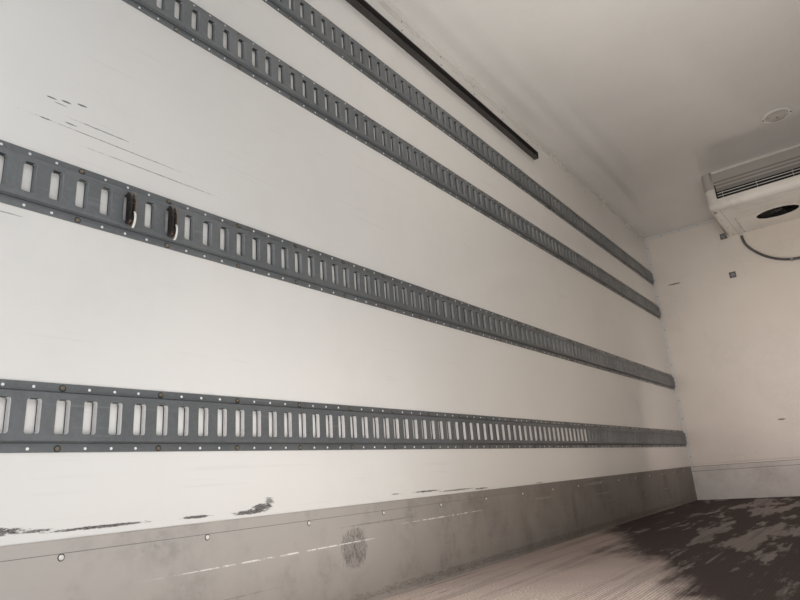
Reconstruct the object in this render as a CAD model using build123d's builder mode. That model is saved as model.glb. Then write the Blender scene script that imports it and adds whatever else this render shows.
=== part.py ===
from build123d import *
import math
import os

# Insulated refrigerated load body of an 18 ft delivery truck, in millimetres.
# Frame: +Z up, +Y forward towards the cab, +X to the right. The origin is the
# centre of the overall box, at the underside of the two long sills.
# A station is a distance forward from the rear face of the rear frame.

# Box of insulated panels
inside_width = 2388.0
inside_height = 2230.0
body_length = 5486.4
panel_thickness = 98.4
rail_skin = 3.2
floor_thickness = 111.1
tread_thickness = 3.2

# Underframe
longsill_height = 127.0
longsill_flange = 64.0
longsill_web = 6.4
longsill_spacing = 863.6
longsill_end_gap = 30.0
crossmember_height = 76.2
crossmember_flange = 38.0
crossmember_web = 4.8
crossmember_pitch = 304.8
crossmember_first = 266.0
crossmember_last_gap = 330.0
crossmember_overhang = 60.0
fixing_hole_radius = 9.0
fixing_stations = (700.0, 4700.0)

# Outer aluminium rails and posts
bottom_rail_drop = 53.0
bottom_rail_height = 170.0
bottom_rail_lip = 34.0
top_rail_height = 170.0
top_rail_flange = 70.0
corner_width = 90.0

# Rear frame and its two swing doors
frame_depth = 127.0
post_width = 120.6
header_drop = 60.0
door_gap = 12.0
door_thickness = 80.0
gasket_proud = 6.0
gasket_width = 30.0
pin_outboard = 30.0
pin_behind = 38.0

# Hinges, measured with the doors shut
hinge_count = 3
hinge_low_gap = 200.0
hinge_high_gap = 172.0
pin_radius = 8.0
pin_clearance = 0.3
barrel_radius = 15.0
strap_height = 64.0
strap_thickness = 8.0
strap_leaf = 220.0
lug_thickness = 10.0
lug_gap = 1.5
lug_reach = 60.0
lug_side_reach = 70.0

# Lock rods, cams, keepers and handles
rod_radius = 13.5
rod_stand = 30.0
rod_offsets = (330.0, 880.0)
rod_overlap = 55.0
cam_half_width = 18.0
cam_height = 32.0
cam_reach = 14.0
keeper_gap = 7.0
keeper_lug = 9.0
keeper_depth = 46.0
bearing_low_gaps = (120.0, 620.0)
bearing_high_gap = 82.0
bearing_width = 70.0
bearing_height = 44.0
handle_offset = 960.0
handle_length = 260.0
handle_height = 30.0
handle_thickness = 10.0
handle_lap = 2.0

# Cargo rails: each line is a rear and a front length, slotted at one pitch
rail_height = 127.0
rail_depth = 12.7
rail_flange = 17.0
rail_step = 3.0
rail_sheet = 2.7
slot_pitch = 50.8
slot_height = 63.5
slot_mouth = 25.4
slot_depth = 10.0
rail_start = 142.5
rear_slots = 60
rail_end_gap = 8.0
splice_gap = 1.6
rail_low_heights = (410.4, 869.5)
rail_high_drops = (753.0, 444.9)

# Linings inside the box
scuff_thickness = 3.0
scuff_height = 258.4
kick_height = 255.0
channel_drop = 70.0
channel_height = 95.0
channel_depth = 45.0
channel_sheet = 3.0
trim_width = 28.0
trim_sheet = 2.0
trim_gap = 1.0
lamp_radius = 80.0
lamp_face_radius = 56.0
lamp_height = 20.0
lamp_edge_height = 7.0
lamp_front_gap = 1474.8

# Evaporator under the ceiling, against the front wall
evap_front_half = 530.0
evap_back_half = 551.0
evap_length = 955.0
evap_lip_drop = 273.0
evap_mouth_drop = 205.0
evap_mouth_half = 462.0
evap_slope = 0.0908
evap_wall = 5.0
evap_nose = 20.0
evap_fan_x = 157.0
evap_fan_back = 413.0
evap_hole_radius = 136.0
evap_hole_cut = 40.0
evap_fan_radius = 126.0
evap_plate = 3.0
coil_front_gap = 90.0
coil_depth = 130.0
coil_drop = 40.0
grille_rows = 8
grille_bar = 4.0
grille_ties = 5
grille_tie_pitch = 210.0
evap_hub_radius = 40.0
evap_hub_length = 24.0
evap_root_chord = 56.0
evap_tip_chord = 96.0
evap_fan_stand = 7.0
evap_motor_stand = 37.0
evap_motor_radius = 42.0
evap_motor_length = 46.0
evap_hanger = 30.0
spout_radius = 11.0
elbow_length = 40.0
elbow_plate = 4.0
elbow_plate_length = 60.0

# What all four fans share
fan_blades = 5
blade_pitch = math.radians(24)
blade_sheet = 3.0
blade_root_sink = 18.0
shaft_radius = 7.0
shaft_clearance = 0.3

# Nose unit outside the front wall
nose_half = 860.0
nose_drop = 51.6
nose_height = 680.0
nose_low_cut = (59.0, 68.0)
nose_high_cut = (110.0, 122.4)
nose_depth = 430.0
nose_wall = 5.0
nose_hole_cut = 108.0
nose_fan_x = 370.0
nose_fan_z = 312.0
nose_hole_radius = 236.0
nose_fan_radius = 224.0
nose_hub_radius = 62.0
nose_hub_length = 44.0
nose_fan_gap = 12.0
nose_root_chord = 90.0
nose_tip_chord = 140.0
nose_motor_radius = 55.0
condenser_gap = 50.0
condenser_depth = 70.0
condenser_margin = 45.0
guard_thickness = 8.0
guard_rim = 14.0
guard_rows = 5
guard_pitch = 80.0
guard_bar = 6.0
backing_x = 580.3
backing_drops = (509.0, 172.0)
backing_size = 48.0
backing_thickness = 4.0

# Fittings on the rear sill
bumper_depth = 70.0
bumper_width = 240.0
bumper_height = 105.0
bumper_x = 560.0
tail_lamp_radius = 48.0
tail_lamp_depth = 14.0
tail_lamp_xs = (1010.0, 1140.0)
tail_lamp_z = 222.0
bumper_rise = 10.0
marker_width = 110.0
marker_height = 28.0
marker_depth = 16.0
marker_drop = 18.0
rear_marker_xs = (-1200.0, -180.0, 0.0, 180.0, 1200.0)
front_marker_x = 1200.0

# Spring fittings: outlines are (stand out from the rail's face, height)
fitting_slots = (9, 11)
fitting_rise = 21.5
fitting_width = 13.0
fitting_outline = ((0, 0), (9, 0), (20, 14), (22, 62), (12, 88), (0, 88))
hook_width = 5.0
hook_outline = ((14, 48), (18, 8), (22, 2), (28, 3), (29, 9), (21, 10), (17, 50))

# Drain hose: route across the front wall as (x, drop below the ceiling)
hose_radius = 10.0
hose_off_wall = 14.0
hose_bend_share = 0.45
hose_route = (
    (-450.0, 210.0),
    (-450.0, 268.0),
    (-408.0, 344.0),
    (-322.0, 432.0),
    (-206.0, 491.0),
    (-86.0, 504.0),
    (10.0, 504.0),
)

# Places worked out from the sizes above
half_in = inside_width / 2
wall_outer = half_in + panel_thickness
body_half = wall_outer + rail_skin
sill_top = longsill_height + crossmember_height
floor_under = sill_top + floor_thickness
load_floor = floor_under + tread_thickness
ceiling = load_floor + inside_height
roof_skin = ceiling + panel_thickness
roof_top = roof_skin + rail_skin
rear_y = -(body_length + nose_depth - bumper_depth) / 2
front_skin = rear_y + body_length
front_outer = front_skin - rail_skin
bulkhead = front_outer - panel_thickness
frame_front = rear_y + frame_depth
header_low = ceiling - header_drop
doorway_half = body_half - post_width
pin_x = -(body_half + pin_outboard)
pin_y = rear_y - pin_behind
door_low = load_floor + door_gap
door_high = header_low - door_gap
door_outer_x = -(doorway_half - door_gap)
door_inner_x = -door_gap
crossmember_count = int((body_length - crossmember_first - crossmember_last_gap) / crossmember_pitch) + 1
front_slots = int((bulkhead - rear_y - rail_start - rail_end_gap) / slot_pitch) - rear_slots
rail_lows = [load_floor + height for height in rail_low_heights] + [ceiling - drop for drop in rail_high_drops]


def slab(x, y, z, mode=Mode.ADD):
    """Box between pairs of limits along X, Y and Z, for the part in hand."""
    with Locations(((x[0] + x[1]) / 2, (y[0] + y[1]) / 2, (z[0] + z[1]) / 2)):
        return Box(x[1] - x[0], y[1] - y[0], z[1] - z[0], mode=mode)


def save(part, name):
    """Names a finished piece and writes its STEP file."""
    part.label = name
    export_step(part, f"parts/{name}.step")


def save_pair(part, name):
    """Writes a piece of the left side and its mirror image on the right."""
    save(part, f"{name}_left")
    save(mirror(part, about=Plane.YZ), f"{name}_right")


os.makedirs("parts", exist_ok=True)

# Long sills: channels with the flanges outward, holed for the chassis bolts
sill_x = -longsill_spacing / 2
with BuildPart() as longsill:
    slab((sill_x - longsill_flange, sill_x),
         (rear_y + longsill_end_gap, front_outer - longsill_end_gap),
         (0, longsill_height))
    slab((sill_x - longsill_flange, sill_x - longsill_web),
         (rear_y + longsill_end_gap, front_outer - longsill_end_gap),
         (longsill_web, longsill_height - longsill_web), mode=Mode.SUBTRACT)
    with Locations(*[(sill_x - longsill_flange / 2, rear_y + station, 0) for station in fixing_stations]):
        Cylinder(fixing_hole_radius, 2 * longsill_web, mode=Mode.SUBTRACT)
save_pair(longsill.part, "longsill")

# Crossmembers: one channel section, repeated along the box
cross_half = half_in + crossmember_overhang
with BuildPart() as crossmember:
    slab((-cross_half, cross_half), (0, crossmember_flange), (longsill_height, sill_top))
    slab((-cross_half, cross_half), (crossmember_web, crossmember_flange),
         (longsill_height + crossmember_web, sill_top - crossmember_web), mode=Mode.SUBTRACT)
cross_places = [(0, rear_y + crossmember_first + i * crossmember_pitch, 0) for i in range(crossmember_count)]
with BuildPart() as crossmembers:
    with Locations(*cross_places):
        add(crossmember.part)
save(crossmembers.part, "crossmembers")

# Insulated panels
with BuildPart() as floor_panel:
    slab((-half_in, half_in), (frame_front, bulkhead), (sill_top, floor_under))
save(floor_panel.part, "floor_panel")

with BuildPart() as tread_floor:
    slab((-half_in, half_in), (frame_front, bulkhead), (floor_under, load_floor))
save(tread_floor.part, "tread_floor")

with BuildPart() as side_wall:
    slab((-wall_outer, -half_in), (frame_front, bulkhead), (sill_top, ceiling))
save_pair(side_wall.part, "side_wall")

with BuildPart() as front_wall:
    slab((-wall_outer, wall_outer), (bulkhead, front_outer), (sill_top, ceiling))
save(front_wall.part, "front_wall")

with BuildPart() as roof_panel:
    slab((-wall_outer, wall_outer), (frame_front, front_outer), (ceiling, roof_skin))
save(roof_panel.part, "roof_panel")


def surround(low, high, inner_half, inner_front):
    """Strip round the left, front and right of the body, open at the rear."""
    with BuildPart() as strip:
        slab((-body_half, body_half), (frame_front, front_skin), (low, high))
        slab((-inner_half, inner_half), (frame_front, inner_front), (low, high), mode=Mode.SUBTRACT)
    return strip.part


# Outer rails: a skirt and a flange each, round three sides
top_skirt = surround(roof_top - top_rail_height, roof_top, wall_outer, front_outer)
top_flange = surround(roof_skin, roof_top, body_half - top_rail_flange, front_skin - top_rail_flange)
with BuildPart() as top_rail:
    add(top_skirt)
    add(top_flange)
save(top_rail.part, "top_rail")

bottom_low = sill_top - bottom_rail_drop
bottom_high = bottom_low + bottom_rail_height
bottom_skirt = surround(bottom_low, bottom_high, wall_outer, front_outer)
bottom_lip = surround(sill_top - rail_skin, sill_top, wall_outer - bottom_rail_lip,
                      front_outer - bottom_rail_lip)
with BuildPart() as bottom_rail:
    add(bottom_skirt)
    add(bottom_lip)
save(bottom_rail.part, "bottom_rail")

with BuildPart() as corner_posts:
    for side in (-1, 1):
        outer = sorted((side * body_half, side * (body_half - corner_width)))
        inner = sorted((side * wall_outer, side * (body_half - corner_width)))
        slab(outer, (front_skin - corner_width, front_skin), (bottom_high, roof_top - top_rail_height))
        slab(inner, (front_skin - corner_width, front_outer), (bottom_high, roof_top - top_rail_height),
             mode=Mode.SUBTRACT)
save(corner_posts.part, "corner_posts")

# Rear frame: posts, header and sill in one welded ring
with BuildPart() as rear_frame:
    slab((-body_half, body_half), (rear_y, frame_front), (longsill_height, roof_top))
    slab((-doorway_half, doorway_half), (rear_y, frame_front), (load_floor, header_low), mode=Mode.SUBTRACT)
save(rear_frame.part, "rear_frame")

# Doors, drawn shut on the left and then swung open through 270 degrees
pin_line = Axis((pin_x, pin_y, 0), (0, 0, 1))


def swing_open(part):
    """Turns a piece of the left door from shut to folded along the side."""
    return part.rotate(pin_line, 90)


with BuildPart() as door:
    slab((door_outer_x, door_inner_x), (rear_y, rear_y + door_thickness), (door_low, door_high))
save_pair(swing_open(door.part), "door")

with BuildPart() as gasket:
    slab((door_outer_x - gasket_proud, door_inner_x + gasket_proud),
         (rear_y + door_thickness - gasket_width, rear_y + door_thickness),
         (door_low - gasket_proud, door_high + gasket_proud))
    slab((door_outer_x, door_inner_x),
         (rear_y + door_thickness - gasket_width, rear_y + door_thickness),
         (door_low, door_high), mode=Mode.SUBTRACT)
save_pair(swing_open(gasket.part), "door_gasket")

# Hinge straps: a barrel on the pin and a cranked leaf on the door's outer face
arm_near = pin_behind - strap_thickness
arm_far = pin_behind + strap_thickness
strap_outline = [
    (pin_x, rear_y - arm_near),
    (door_outer_x - arm_far, rear_y - arm_near),
    (door_outer_x, rear_y),
    (door_outer_x + strap_leaf, rear_y),
    (door_outer_x + strap_leaf, rear_y - strap_thickness),
    (door_outer_x + strap_thickness, rear_y - strap_thickness),
    (door_outer_x - arm_near, rear_y - arm_far),
    (pin_x, rear_y - arm_far),
]
with BuildPart() as strap:
    with BuildSketch(Plane.XY):
        with BuildLine():
            Polyline(*strap_outline, close=True)
        make_face()
        with Locations((pin_x, pin_y)):
            Circle(barrel_radius)
            Circle(pin_radius + pin_clearance, mode=Mode.SUBTRACT)
    extrude(amount=strap_height)
hinge_first = door_low + hinge_low_gap
hinge_step = (door_high - hinge_high_gap - strap_height - hinge_first) / (hinge_count - 1)
hinge_heights = [hinge_first + i * hinge_step for i in range(hinge_count)]
with BuildPart() as hinge_straps:
    with Locations(*[(0, 0, z) for z in hinge_heights]):
        add(strap.part)
save_pair(swing_open(hinge_straps.part), "hinge_straps")

# Hinge brackets: a wrapped base on the post, two lugs and the pin
base_sheet = lug_thickness
lug_outline = [
    (pin_x - barrel_radius, pin_y),
    (pin_x, pin_y - barrel_radius),
    (-body_half + lug_reach, rear_y - base_sheet),
    (-body_half + lug_reach, rear_y),
    (-body_half, rear_y),
    (-body_half, rear_y + lug_side_reach),
    (-body_half - base_sheet, rear_y + lug_side_reach),
]
bracket_height = strap_height + 2 * lug_gap + 2 * lug_thickness
with BuildPart() as lug:
    with BuildSketch(Plane.XY):
        with BuildLine():
            Polyline(*lug_outline, close=True)
        make_face()
        with Locations((pin_x, pin_y)):
            Circle(barrel_radius)
    extrude(amount=lug_thickness)
with BuildPart() as bracket:
    slab((-body_half - base_sheet, -body_half), (rear_y - base_sheet, rear_y + lug_side_reach),
         (0, bracket_height))
    slab((-body_half - base_sheet, -body_half + lug_reach), (rear_y - base_sheet, rear_y),
         (0, bracket_height))
    with Locations((0, 0, 0), (0, 0, bracket_height - lug_thickness)):
        add(lug.part)
    with Locations((pin_x, pin_y, bracket_height / 2)):
        Cylinder(pin_radius, bracket_height)
bracket_drop = lug_gap + lug_thickness
with BuildPart() as brackets:
    with Locations(*[(0, 0, z - bracket_drop) for z in hinge_heights]):
        add(bracket.part)
save_pair(brackets.part, "hinge_brackets")

# Lock gear on the door's outer face: rods, bearings, cams and handles
rod_y = rear_y - rod_stand
rod_low = load_floor - rod_overlap
rod_high = header_low + rod_overlap
bearing_heights = [door_low + gap for gap in bearing_low_gaps] + [door_high - bearing_high_gap - bearing_height]
with BuildPart() as lock_gear:
    for offset in rod_offsets:
        x = door_outer_x + offset
        with Locations((x, rod_y, (rod_low + rod_high) / 2)):
            Cylinder(rod_radius, rod_high - rod_low)
        for z in (rod_low, rod_high - cam_height):
            slab((x - cam_half_width, x + cam_half_width), (rod_y - cam_reach, rod_y + cam_reach),
                 (z, z + cam_height))
        for z in bearing_heights:
            slab((x - bearing_width / 2, x + bearing_width / 2), (rod_y + rod_radius - handle_thickness, rear_y),
                 (z, z + bearing_height))
        slab((x - handle_length, x + cam_half_width),
             (rod_y - rod_radius - handle_thickness, rod_y - rod_radius + handle_lap),
             (door_low + handle_offset, door_low + handle_offset + handle_height))
        slab((x - handle_length, x - handle_length + handle_height),
             (rod_y - rod_radius, rear_y),
             (door_low + handle_offset, door_low + handle_offset + handle_height))
save_pair(swing_open(lock_gear.part), "lock_gear")

# Keepers: forks on the header and the sill, one round each cam
keeper_half = cam_half_width + keeper_gap
with BuildPart() as keepers:
    for side in (-1, 1):
        for offset in rod_offsets:
            x = side * (door_outer_x + offset)
            for z in (rod_low, rod_high - cam_height):
                slab((x - keeper_half - keeper_lug, x + keeper_half + keeper_lug),
                     (rear_y - keeper_depth, rear_y), (z, z + cam_height))
                slab((x - keeper_half, x + keeper_half),
                     (rear_y - keeper_depth, rear_y - keeper_lug), (z, z + cam_height), mode=Mode.SUBTRACT)
save(keepers.part, "lock_keepers")

# Cargo rails: hat section with a row of slots, each a pocket between two bent lips
rail_profile = [
    (0, 0),
    (rail_sheet, 0),
    (rail_sheet, rail_flange),
    (rail_depth, rail_flange + rail_step),
    (rail_depth, rail_height - rail_flange - rail_step),
    (rail_sheet, rail_height - rail_flange),
    (rail_sheet, rail_height),
    (0, rail_height),
]


def rail_length(slots):
    """One length of cargo rail at the origin, its back on the YZ plane."""
    length = slots * slot_pitch - splice_gap
    with BuildPart() as pocket:
        with BuildSketch(Plane.XY.offset((rail_height - slot_height) / 2)):
            with BuildLine():
                Polyline((rail_depth, -slot_mouth / 2), (rail_depth, slot_mouth / 2),
                         (rail_depth - slot_depth, 0), close=True)
            make_face()
        extrude(amount=slot_height)
    with BuildPart() as rail:
        with BuildSketch(Plane.XZ.offset(-length / 2)):
            with BuildLine():
                Polyline(*rail_profile, close=True)
            make_face()
        extrude(amount=length)
        with Locations(*[(0, (i - (slots - 1) / 2) * slot_pitch, 0) for i in range(slots)]):
            add(pocket.part, mode=Mode.SUBTRACT)
    return rail.part


rail_runs = (
    # slots, station of the first end
    (rear_slots, rail_start),
    (front_slots, rail_start + rear_slots * slot_pitch),
)
rail_parts = [(rail_length(slots), rear_y + start + slots * slot_pitch / 2) for slots, start in rail_runs]
with BuildPart() as cargo_rails:
    for piece, middle in rail_parts:
        with Locations(*[(-half_in, middle, z) for z in rail_lows]):
            add(piece)
save_pair(cargo_rails.part, "cargo_rails")

# Scuff plates along the walls and the kick plate across the front wall
with BuildPart() as scuff_plate:
    slab((-half_in, -half_in + scuff_thickness), (frame_front, bulkhead),
         (load_floor, load_floor + scuff_height))
save_pair(scuff_plate.part, "scuff_plate")

with BuildPart() as kick_plate:
    slab((-half_in + scuff_thickness, half_in - scuff_thickness), (bulkhead - scuff_thickness, bulkhead),
         (load_floor, load_floor + kick_height))
save(kick_plate.part, "kick_plate")

# Open channels high on both walls
with BuildPart() as ceiling_channel:
    low = ceiling - channel_drop - channel_height
    ends = (rear_y + rail_start, rear_y + rail_start + rear_slots * slot_pitch)
    slab((-half_in, -half_in + channel_depth), ends, (low, low + channel_height))
    slab((-half_in + channel_sheet, -half_in + channel_depth), ends,
         (low + channel_sheet, low + channel_height - channel_sheet), mode=Mode.SUBTRACT)
save_pair(ceiling_channel.part, "ceiling_channel")

# White corner trims: angles along the ceiling, strips down and across the front wall
with BuildPart() as corner_trims:
    for side in (-1, 1):
        low, high = sorted((side * half_in, side * (half_in - trim_width)))
        in_low, in_high = sorted((side * (half_in - trim_sheet), side * (half_in - trim_width)))
        slab((low, high), (frame_front, bulkhead - trim_sheet - trim_gap), (ceiling - trim_width, ceiling))
        slab((in_low, in_high), (frame_front, bulkhead - trim_sheet - trim_gap),
             (ceiling - trim_width, ceiling - trim_sheet), mode=Mode.SUBTRACT)
        slab((low, high), (bulkhead - trim_sheet, bulkhead), (load_floor + scuff_height, ceiling))
        edge_low, edge_high = sorted((side * (half_in - trim_width - trim_gap), side * (evap_back_half + trim_gap)))
        slab((edge_low, edge_high), (bulkhead - trim_sheet, bulkhead), (ceiling - trim_width, ceiling))
save(corner_trims.part, "corner_trims")

# Round ceiling lamp on the centre line
lamp_y = bulkhead - lamp_front_gap
with BuildPart() as ceiling_lamp:
    with BuildSketch(Plane.XZ.offset(-lamp_y)):
        with BuildLine():
            Polyline((0, ceiling), (lamp_radius, ceiling), (lamp_radius, ceiling - lamp_edge_height),
                     (lamp_face_radius, ceiling - lamp_height), (0, ceiling - lamp_height), close=True)
        make_face()
    revolve(axis=Axis((0, lamp_y, 0), (0, 0, 1)))
save(ceiling_lamp.part, "ceiling_lamp")

# Evaporator housing: tapered in plan, underside rising to the front wall
evap_front = bulkhead - evap_length
hose_y = bulkhead - hose_off_wall
lip_low = ceiling - evap_lip_drop
mouth_low = ceiling - evap_mouth_drop
back_low = lip_low + evap_slope * evap_length


def evap_profile(wall, front, top):
    """Side outline of the evaporator, drawn in by a wall, as (y, z) points."""
    return [
        (front, top),
        (front, lip_low + evap_nose + wall),
        (front + evap_nose, lip_low + wall),
        (bulkhead - wall, back_low + wall),
        (bulkhead - wall, top),
    ]


evap_plan = [
    (-evap_front_half, evap_front),
    (evap_front_half, evap_front),
    (evap_back_half, bulkhead),
    (-evap_back_half, bulkhead),
]
fan_y = bulkhead - evap_fan_back
fan_z = lip_low + evap_slope * (fan_y - evap_front)
evap_fan_planes = [
    Plane(origin=(side * evap_fan_x, fan_y, fan_z), x_dir=(1, 0, 0), z_dir=(0, -evap_slope, 1))
    for side in (-1, 1)
]
with BuildPart() as evaporator_housing:
    with BuildSketch(Plane.YZ.offset(-evap_back_half)):
        with BuildLine():
            Polyline(*evap_profile(0, evap_front, ceiling), close=True)
        make_face()
    extrude(amount=2 * evap_back_half)
    with BuildSketch(Plane.XY.offset(lip_low)):
        with BuildLine():
            Polyline(*evap_plan, close=True)
        make_face()
    extrude(amount=ceiling - lip_low, mode=Mode.INTERSECT)
    with BuildSketch(Plane.YZ.offset(-evap_mouth_half)):
        with BuildLine():
            Polyline(*evap_profile(evap_wall, evap_front + evap_wall, ceiling), close=True)
        make_face()
    extrude(amount=2 * evap_mouth_half, mode=Mode.SUBTRACT)
    slab((-evap_mouth_half, evap_mouth_half), (evap_front, evap_front + 2 * evap_wall),
         (mouth_low, ceiling), mode=Mode.SUBTRACT)
    for place in evap_fan_planes:
        with Locations(place):
            Cylinder(evap_hole_radius, evap_hole_cut, mode=Mode.SUBTRACT)
    with Locations((hose_route[0][0], hose_y, ceiling - hose_route[0][1])):
        Cylinder(spout_radius, back_low + evap_wall - ceiling + hose_route[0][1],
                 align=(Align.CENTER, Align.CENTER, Align.MIN))
save(evaporator_housing.part, "evaporator_housing")

# Evaporator grille: a guard of level bars on upright ties, in the mouth
mouth_height = ceiling - mouth_low
with BuildPart() as evaporator_grille:
    for row in range(grille_rows):
        z = mouth_low + (row + 0.5) * mouth_height / grille_rows
        slab((-evap_mouth_half, evap_mouth_half), (evap_front + evap_wall, evap_front + evap_wall + grille_bar),
             (z - grille_bar / 2, z + grille_bar / 2))
    for column in range(grille_ties):
        x = (column - (grille_ties - 1) / 2) * grille_tie_pitch
        slab((x - grille_bar / 2, x + grille_bar / 2),
             (evap_front + evap_wall + grille_bar, evap_front + evap_wall + 2 * grille_bar), (mouth_low, ceiling))
save(evaporator_grille.part, "evaporator_grille")

# Evaporator frame: plate on the ceiling, with the coil and the two fan motors
coil_front = evap_front + coil_front_gap
with BuildPart() as evaporator_frame:
    slab((-evap_mouth_half, evap_mouth_half), (coil_front, bulkhead - evap_wall), (ceiling - evap_plate, ceiling))
    slab((-evap_mouth_half, evap_mouth_half), (coil_front, coil_front + coil_depth),
         (mouth_low - coil_drop, ceiling - evap_plate))
    for place in evap_fan_planes:
        with Locations(place.offset(evap_motor_stand)):
            Cylinder(evap_motor_radius, evap_motor_length, align=(Align.CENTER, Align.CENTER, Align.MIN))
        with Locations(place.offset(evap_fan_stand)):
            Cylinder(shaft_radius, evap_motor_stand, align=(Align.CENTER, Align.CENTER, Align.MIN))
        slab((place.origin.X - evap_hanger, place.origin.X + evap_hanger),
             (fan_y - evap_hanger, fan_y + evap_hanger),
             (fan_z + evap_motor_stand + evap_motor_length / 2, ceiling - evap_plate))
save(evaporator_frame.part, "evaporator_frame")


def axial_fan(hub_radius, hub_length, tip_radius, root_chord, tip_chord, blades):
    """Axial fan about Z at the origin: a bored hub with flat blades set at one pitch."""
    tip_half = tip_chord / 2
    tip_reach = math.sqrt(tip_radius ** 2 - (tip_half * math.cos(blade_pitch)) ** 2)
    root_radius = hub_radius - blade_root_sink
    with BuildPart() as blade:
        with BuildSketch(Plane(origin=(0, 0, 0), x_dir=(1, 0, 0),
                               z_dir=(0, -math.sin(blade_pitch), math.cos(blade_pitch)))):
            with BuildLine():
                Polyline((root_radius, -root_chord / 2), (tip_reach, -tip_half), (tip_radius, 0),
                         (tip_reach, tip_half), (root_radius, root_chord / 2), close=True)
            make_face()
        extrude(amount=blade_sheet / 2, both=True)
    with BuildPart() as fan:
        Cylinder(hub_radius, hub_length)
        with PolarLocations(0, blades):
            add(blade.part)
        Cylinder(shaft_radius + shaft_clearance, hub_length, mode=Mode.SUBTRACT)
    return fan.part


evap_fan = axial_fan(evap_hub_radius, evap_hub_length, evap_fan_radius, evap_root_chord, evap_tip_chord, fan_blades)
for name, place in zip(("left", "right"), evap_fan_planes):
    with BuildPart() as evaporator_fan:
        with Locations(place.offset(evap_fan_stand + evap_hub_length / 2)):
            add(evap_fan)
    save(evaporator_fan.part, f"evaporator_fan_{name}")

# Elbow that takes the drain hose through the front wall
hose_end_x, hose_end_drop = hose_route[-1]
hose_end_z = ceiling - hose_end_drop
with BuildPart() as drain_elbow:
    slab((hose_end_x, hose_end_x + elbow_length), (hose_y - hose_radius, bulkhead - elbow_plate),
         (hose_end_z - hose_radius, hose_end_z + hose_radius))
    slab((hose_end_x, hose_end_x + elbow_plate_length), (bulkhead - elbow_plate, bulkhead),
         (hose_end_z - elbow_length / 2, hose_end_z + elbow_length / 2))
save(drain_elbow.part, "drain_elbow")

route = [Vector(x, hose_y, ceiling - drop) for x, drop in hose_route]
runs = [(b - a).length for a, b in zip(route, route[1:])]
turns = [math.radians((b - a).get_angle(c - b)) for a, b, c in zip(route, route[1:], route[2:])]
radii = [hose_bend_share * min(pair) / math.tan(turn / 2) for pair, turn in zip(zip(runs, runs[1:]), turns)]
with BuildPart() as drain_hose:
    with BuildLine() as hose_line:
        FilletPolyline(*route, radius=radii)
    with BuildSketch(Plane(origin=route[0], z_dir=route[1] - route[0])):
        Circle(hose_radius)
    sweep(path=hose_line.wire())
hose_tube = math.pi * hose_radius ** 2 * hose_line.wire().length
print("hose length", round(hose_line.wire().length, 1), "bend radii", [round(r) for r in radii])
print("hose volume over section times length", round(drain_hose.part.volume / hose_tube, 5))
save(drain_hose.part, "drain_hose")

# Square plates behind the bolts of the nose unit
with BuildPart() as backing_plates:
    for side in (-1, 1):
        for drop in backing_drops:
            x = side * backing_x
            z = ceiling - drop
            slab((x - backing_size / 2, x + backing_size / 2), (bulkhead - backing_thickness, bulkhead),
                 (z - backing_size / 2, z + backing_size / 2))
save(backing_plates.part, "backing_plates")

# Spring fittings left in the second rail up, each with its wire hook
with BuildPart() as rail_fittings:
    for slot in fitting_slots:
        middle = rear_y + rail_start + slot * slot_pitch + slot_pitch / 2
        face = -half_in + rail_depth
        low = rail_lows[1] + fitting_rise
        with BuildSketch(Plane.XZ.offset(-(middle + fitting_width / 2))):
            with BuildLine():
                Polyline(*[(face + d, low + z) for d, z in fitting_outline], close=True)
            make_face()
        extrude(amount=fitting_width)
        with BuildSketch(Plane.XZ.offset(-(middle + fitting_width / 2 + hook_width))):
            with BuildLine():
                Polyline(*[(face + d, low + z) for d, z in hook_outline], close=True)
            make_face()
        extrude(amount=hook_width)
save(rail_fittings.part, "rail_fittings")

# Nose unit: hollow housing open to the wall, two fan openings in its front
nose_base = roof_top - nose_drop - nose_height


def nose_profile(wall):
    """Side outline of the nose unit, drawn in by a wall, as (y, z) points."""
    front = front_skin + nose_depth - guard_thickness - wall
    low = nose_base + wall
    high = nose_base + nose_height - wall
    return [
        (front_skin, low),
        (front - nose_low_cut[0], low),
        (front, low + nose_low_cut[1]),
        (front, high - nose_high_cut[1]),
        (front - nose_high_cut[0], high),
        (front_skin, high),
    ]


with BuildPart() as nose_housing:
    for wall, mode in ((0, Mode.ADD), (nose_wall, Mode.SUBTRACT)):
        half = nose_half - wall
        with BuildSketch(Plane.YZ.offset(-half)):
            with BuildLine():
                Polyline(*nose_profile(wall), close=True)
            make_face()
        extrude(amount=2 * half, mode=mode)
    for side in (-1, 1):
        with BuildSketch(Plane.XZ.offset(-(front_skin + nose_depth))):
            with Locations((side * nose_fan_x, nose_base + nose_fan_z)):
                Circle(nose_hole_radius)
        extrude(amount=nose_hole_cut, mode=Mode.SUBTRACT)
save(nose_housing.part, "nose_unit_housing")

# Condenser: coil block across the housing, carrying the two fan motors
coil_back = front_skin + condenser_gap
motor_tip = front_skin + nose_depth - guard_thickness - nose_wall - nose_fan_gap
with BuildPart() as condenser:
    slab((-nose_half + nose_wall, nose_half - nose_wall), (coil_back, coil_back + condenser_depth),
         (nose_base + condenser_margin, nose_base + nose_height - condenser_margin))
    for side in (-1, 1):
        with Locations(Plane(origin=(side * nose_fan_x, coil_back + condenser_depth, nose_base + nose_fan_z),
                             x_dir=(1, 0, 0), z_dir=(0, 1, 0))):
            Cylinder(nose_motor_radius, motor_tip - nose_hub_length - nose_fan_gap - coil_back - condenser_depth,
                     align=(Align.CENTER, Align.CENTER, Align.MIN))
            Cylinder(shaft_radius, motor_tip - coil_back - condenser_depth,
                     align=(Align.CENTER, Align.CENTER, Align.MIN))
save(condenser.part, "condenser")

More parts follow.
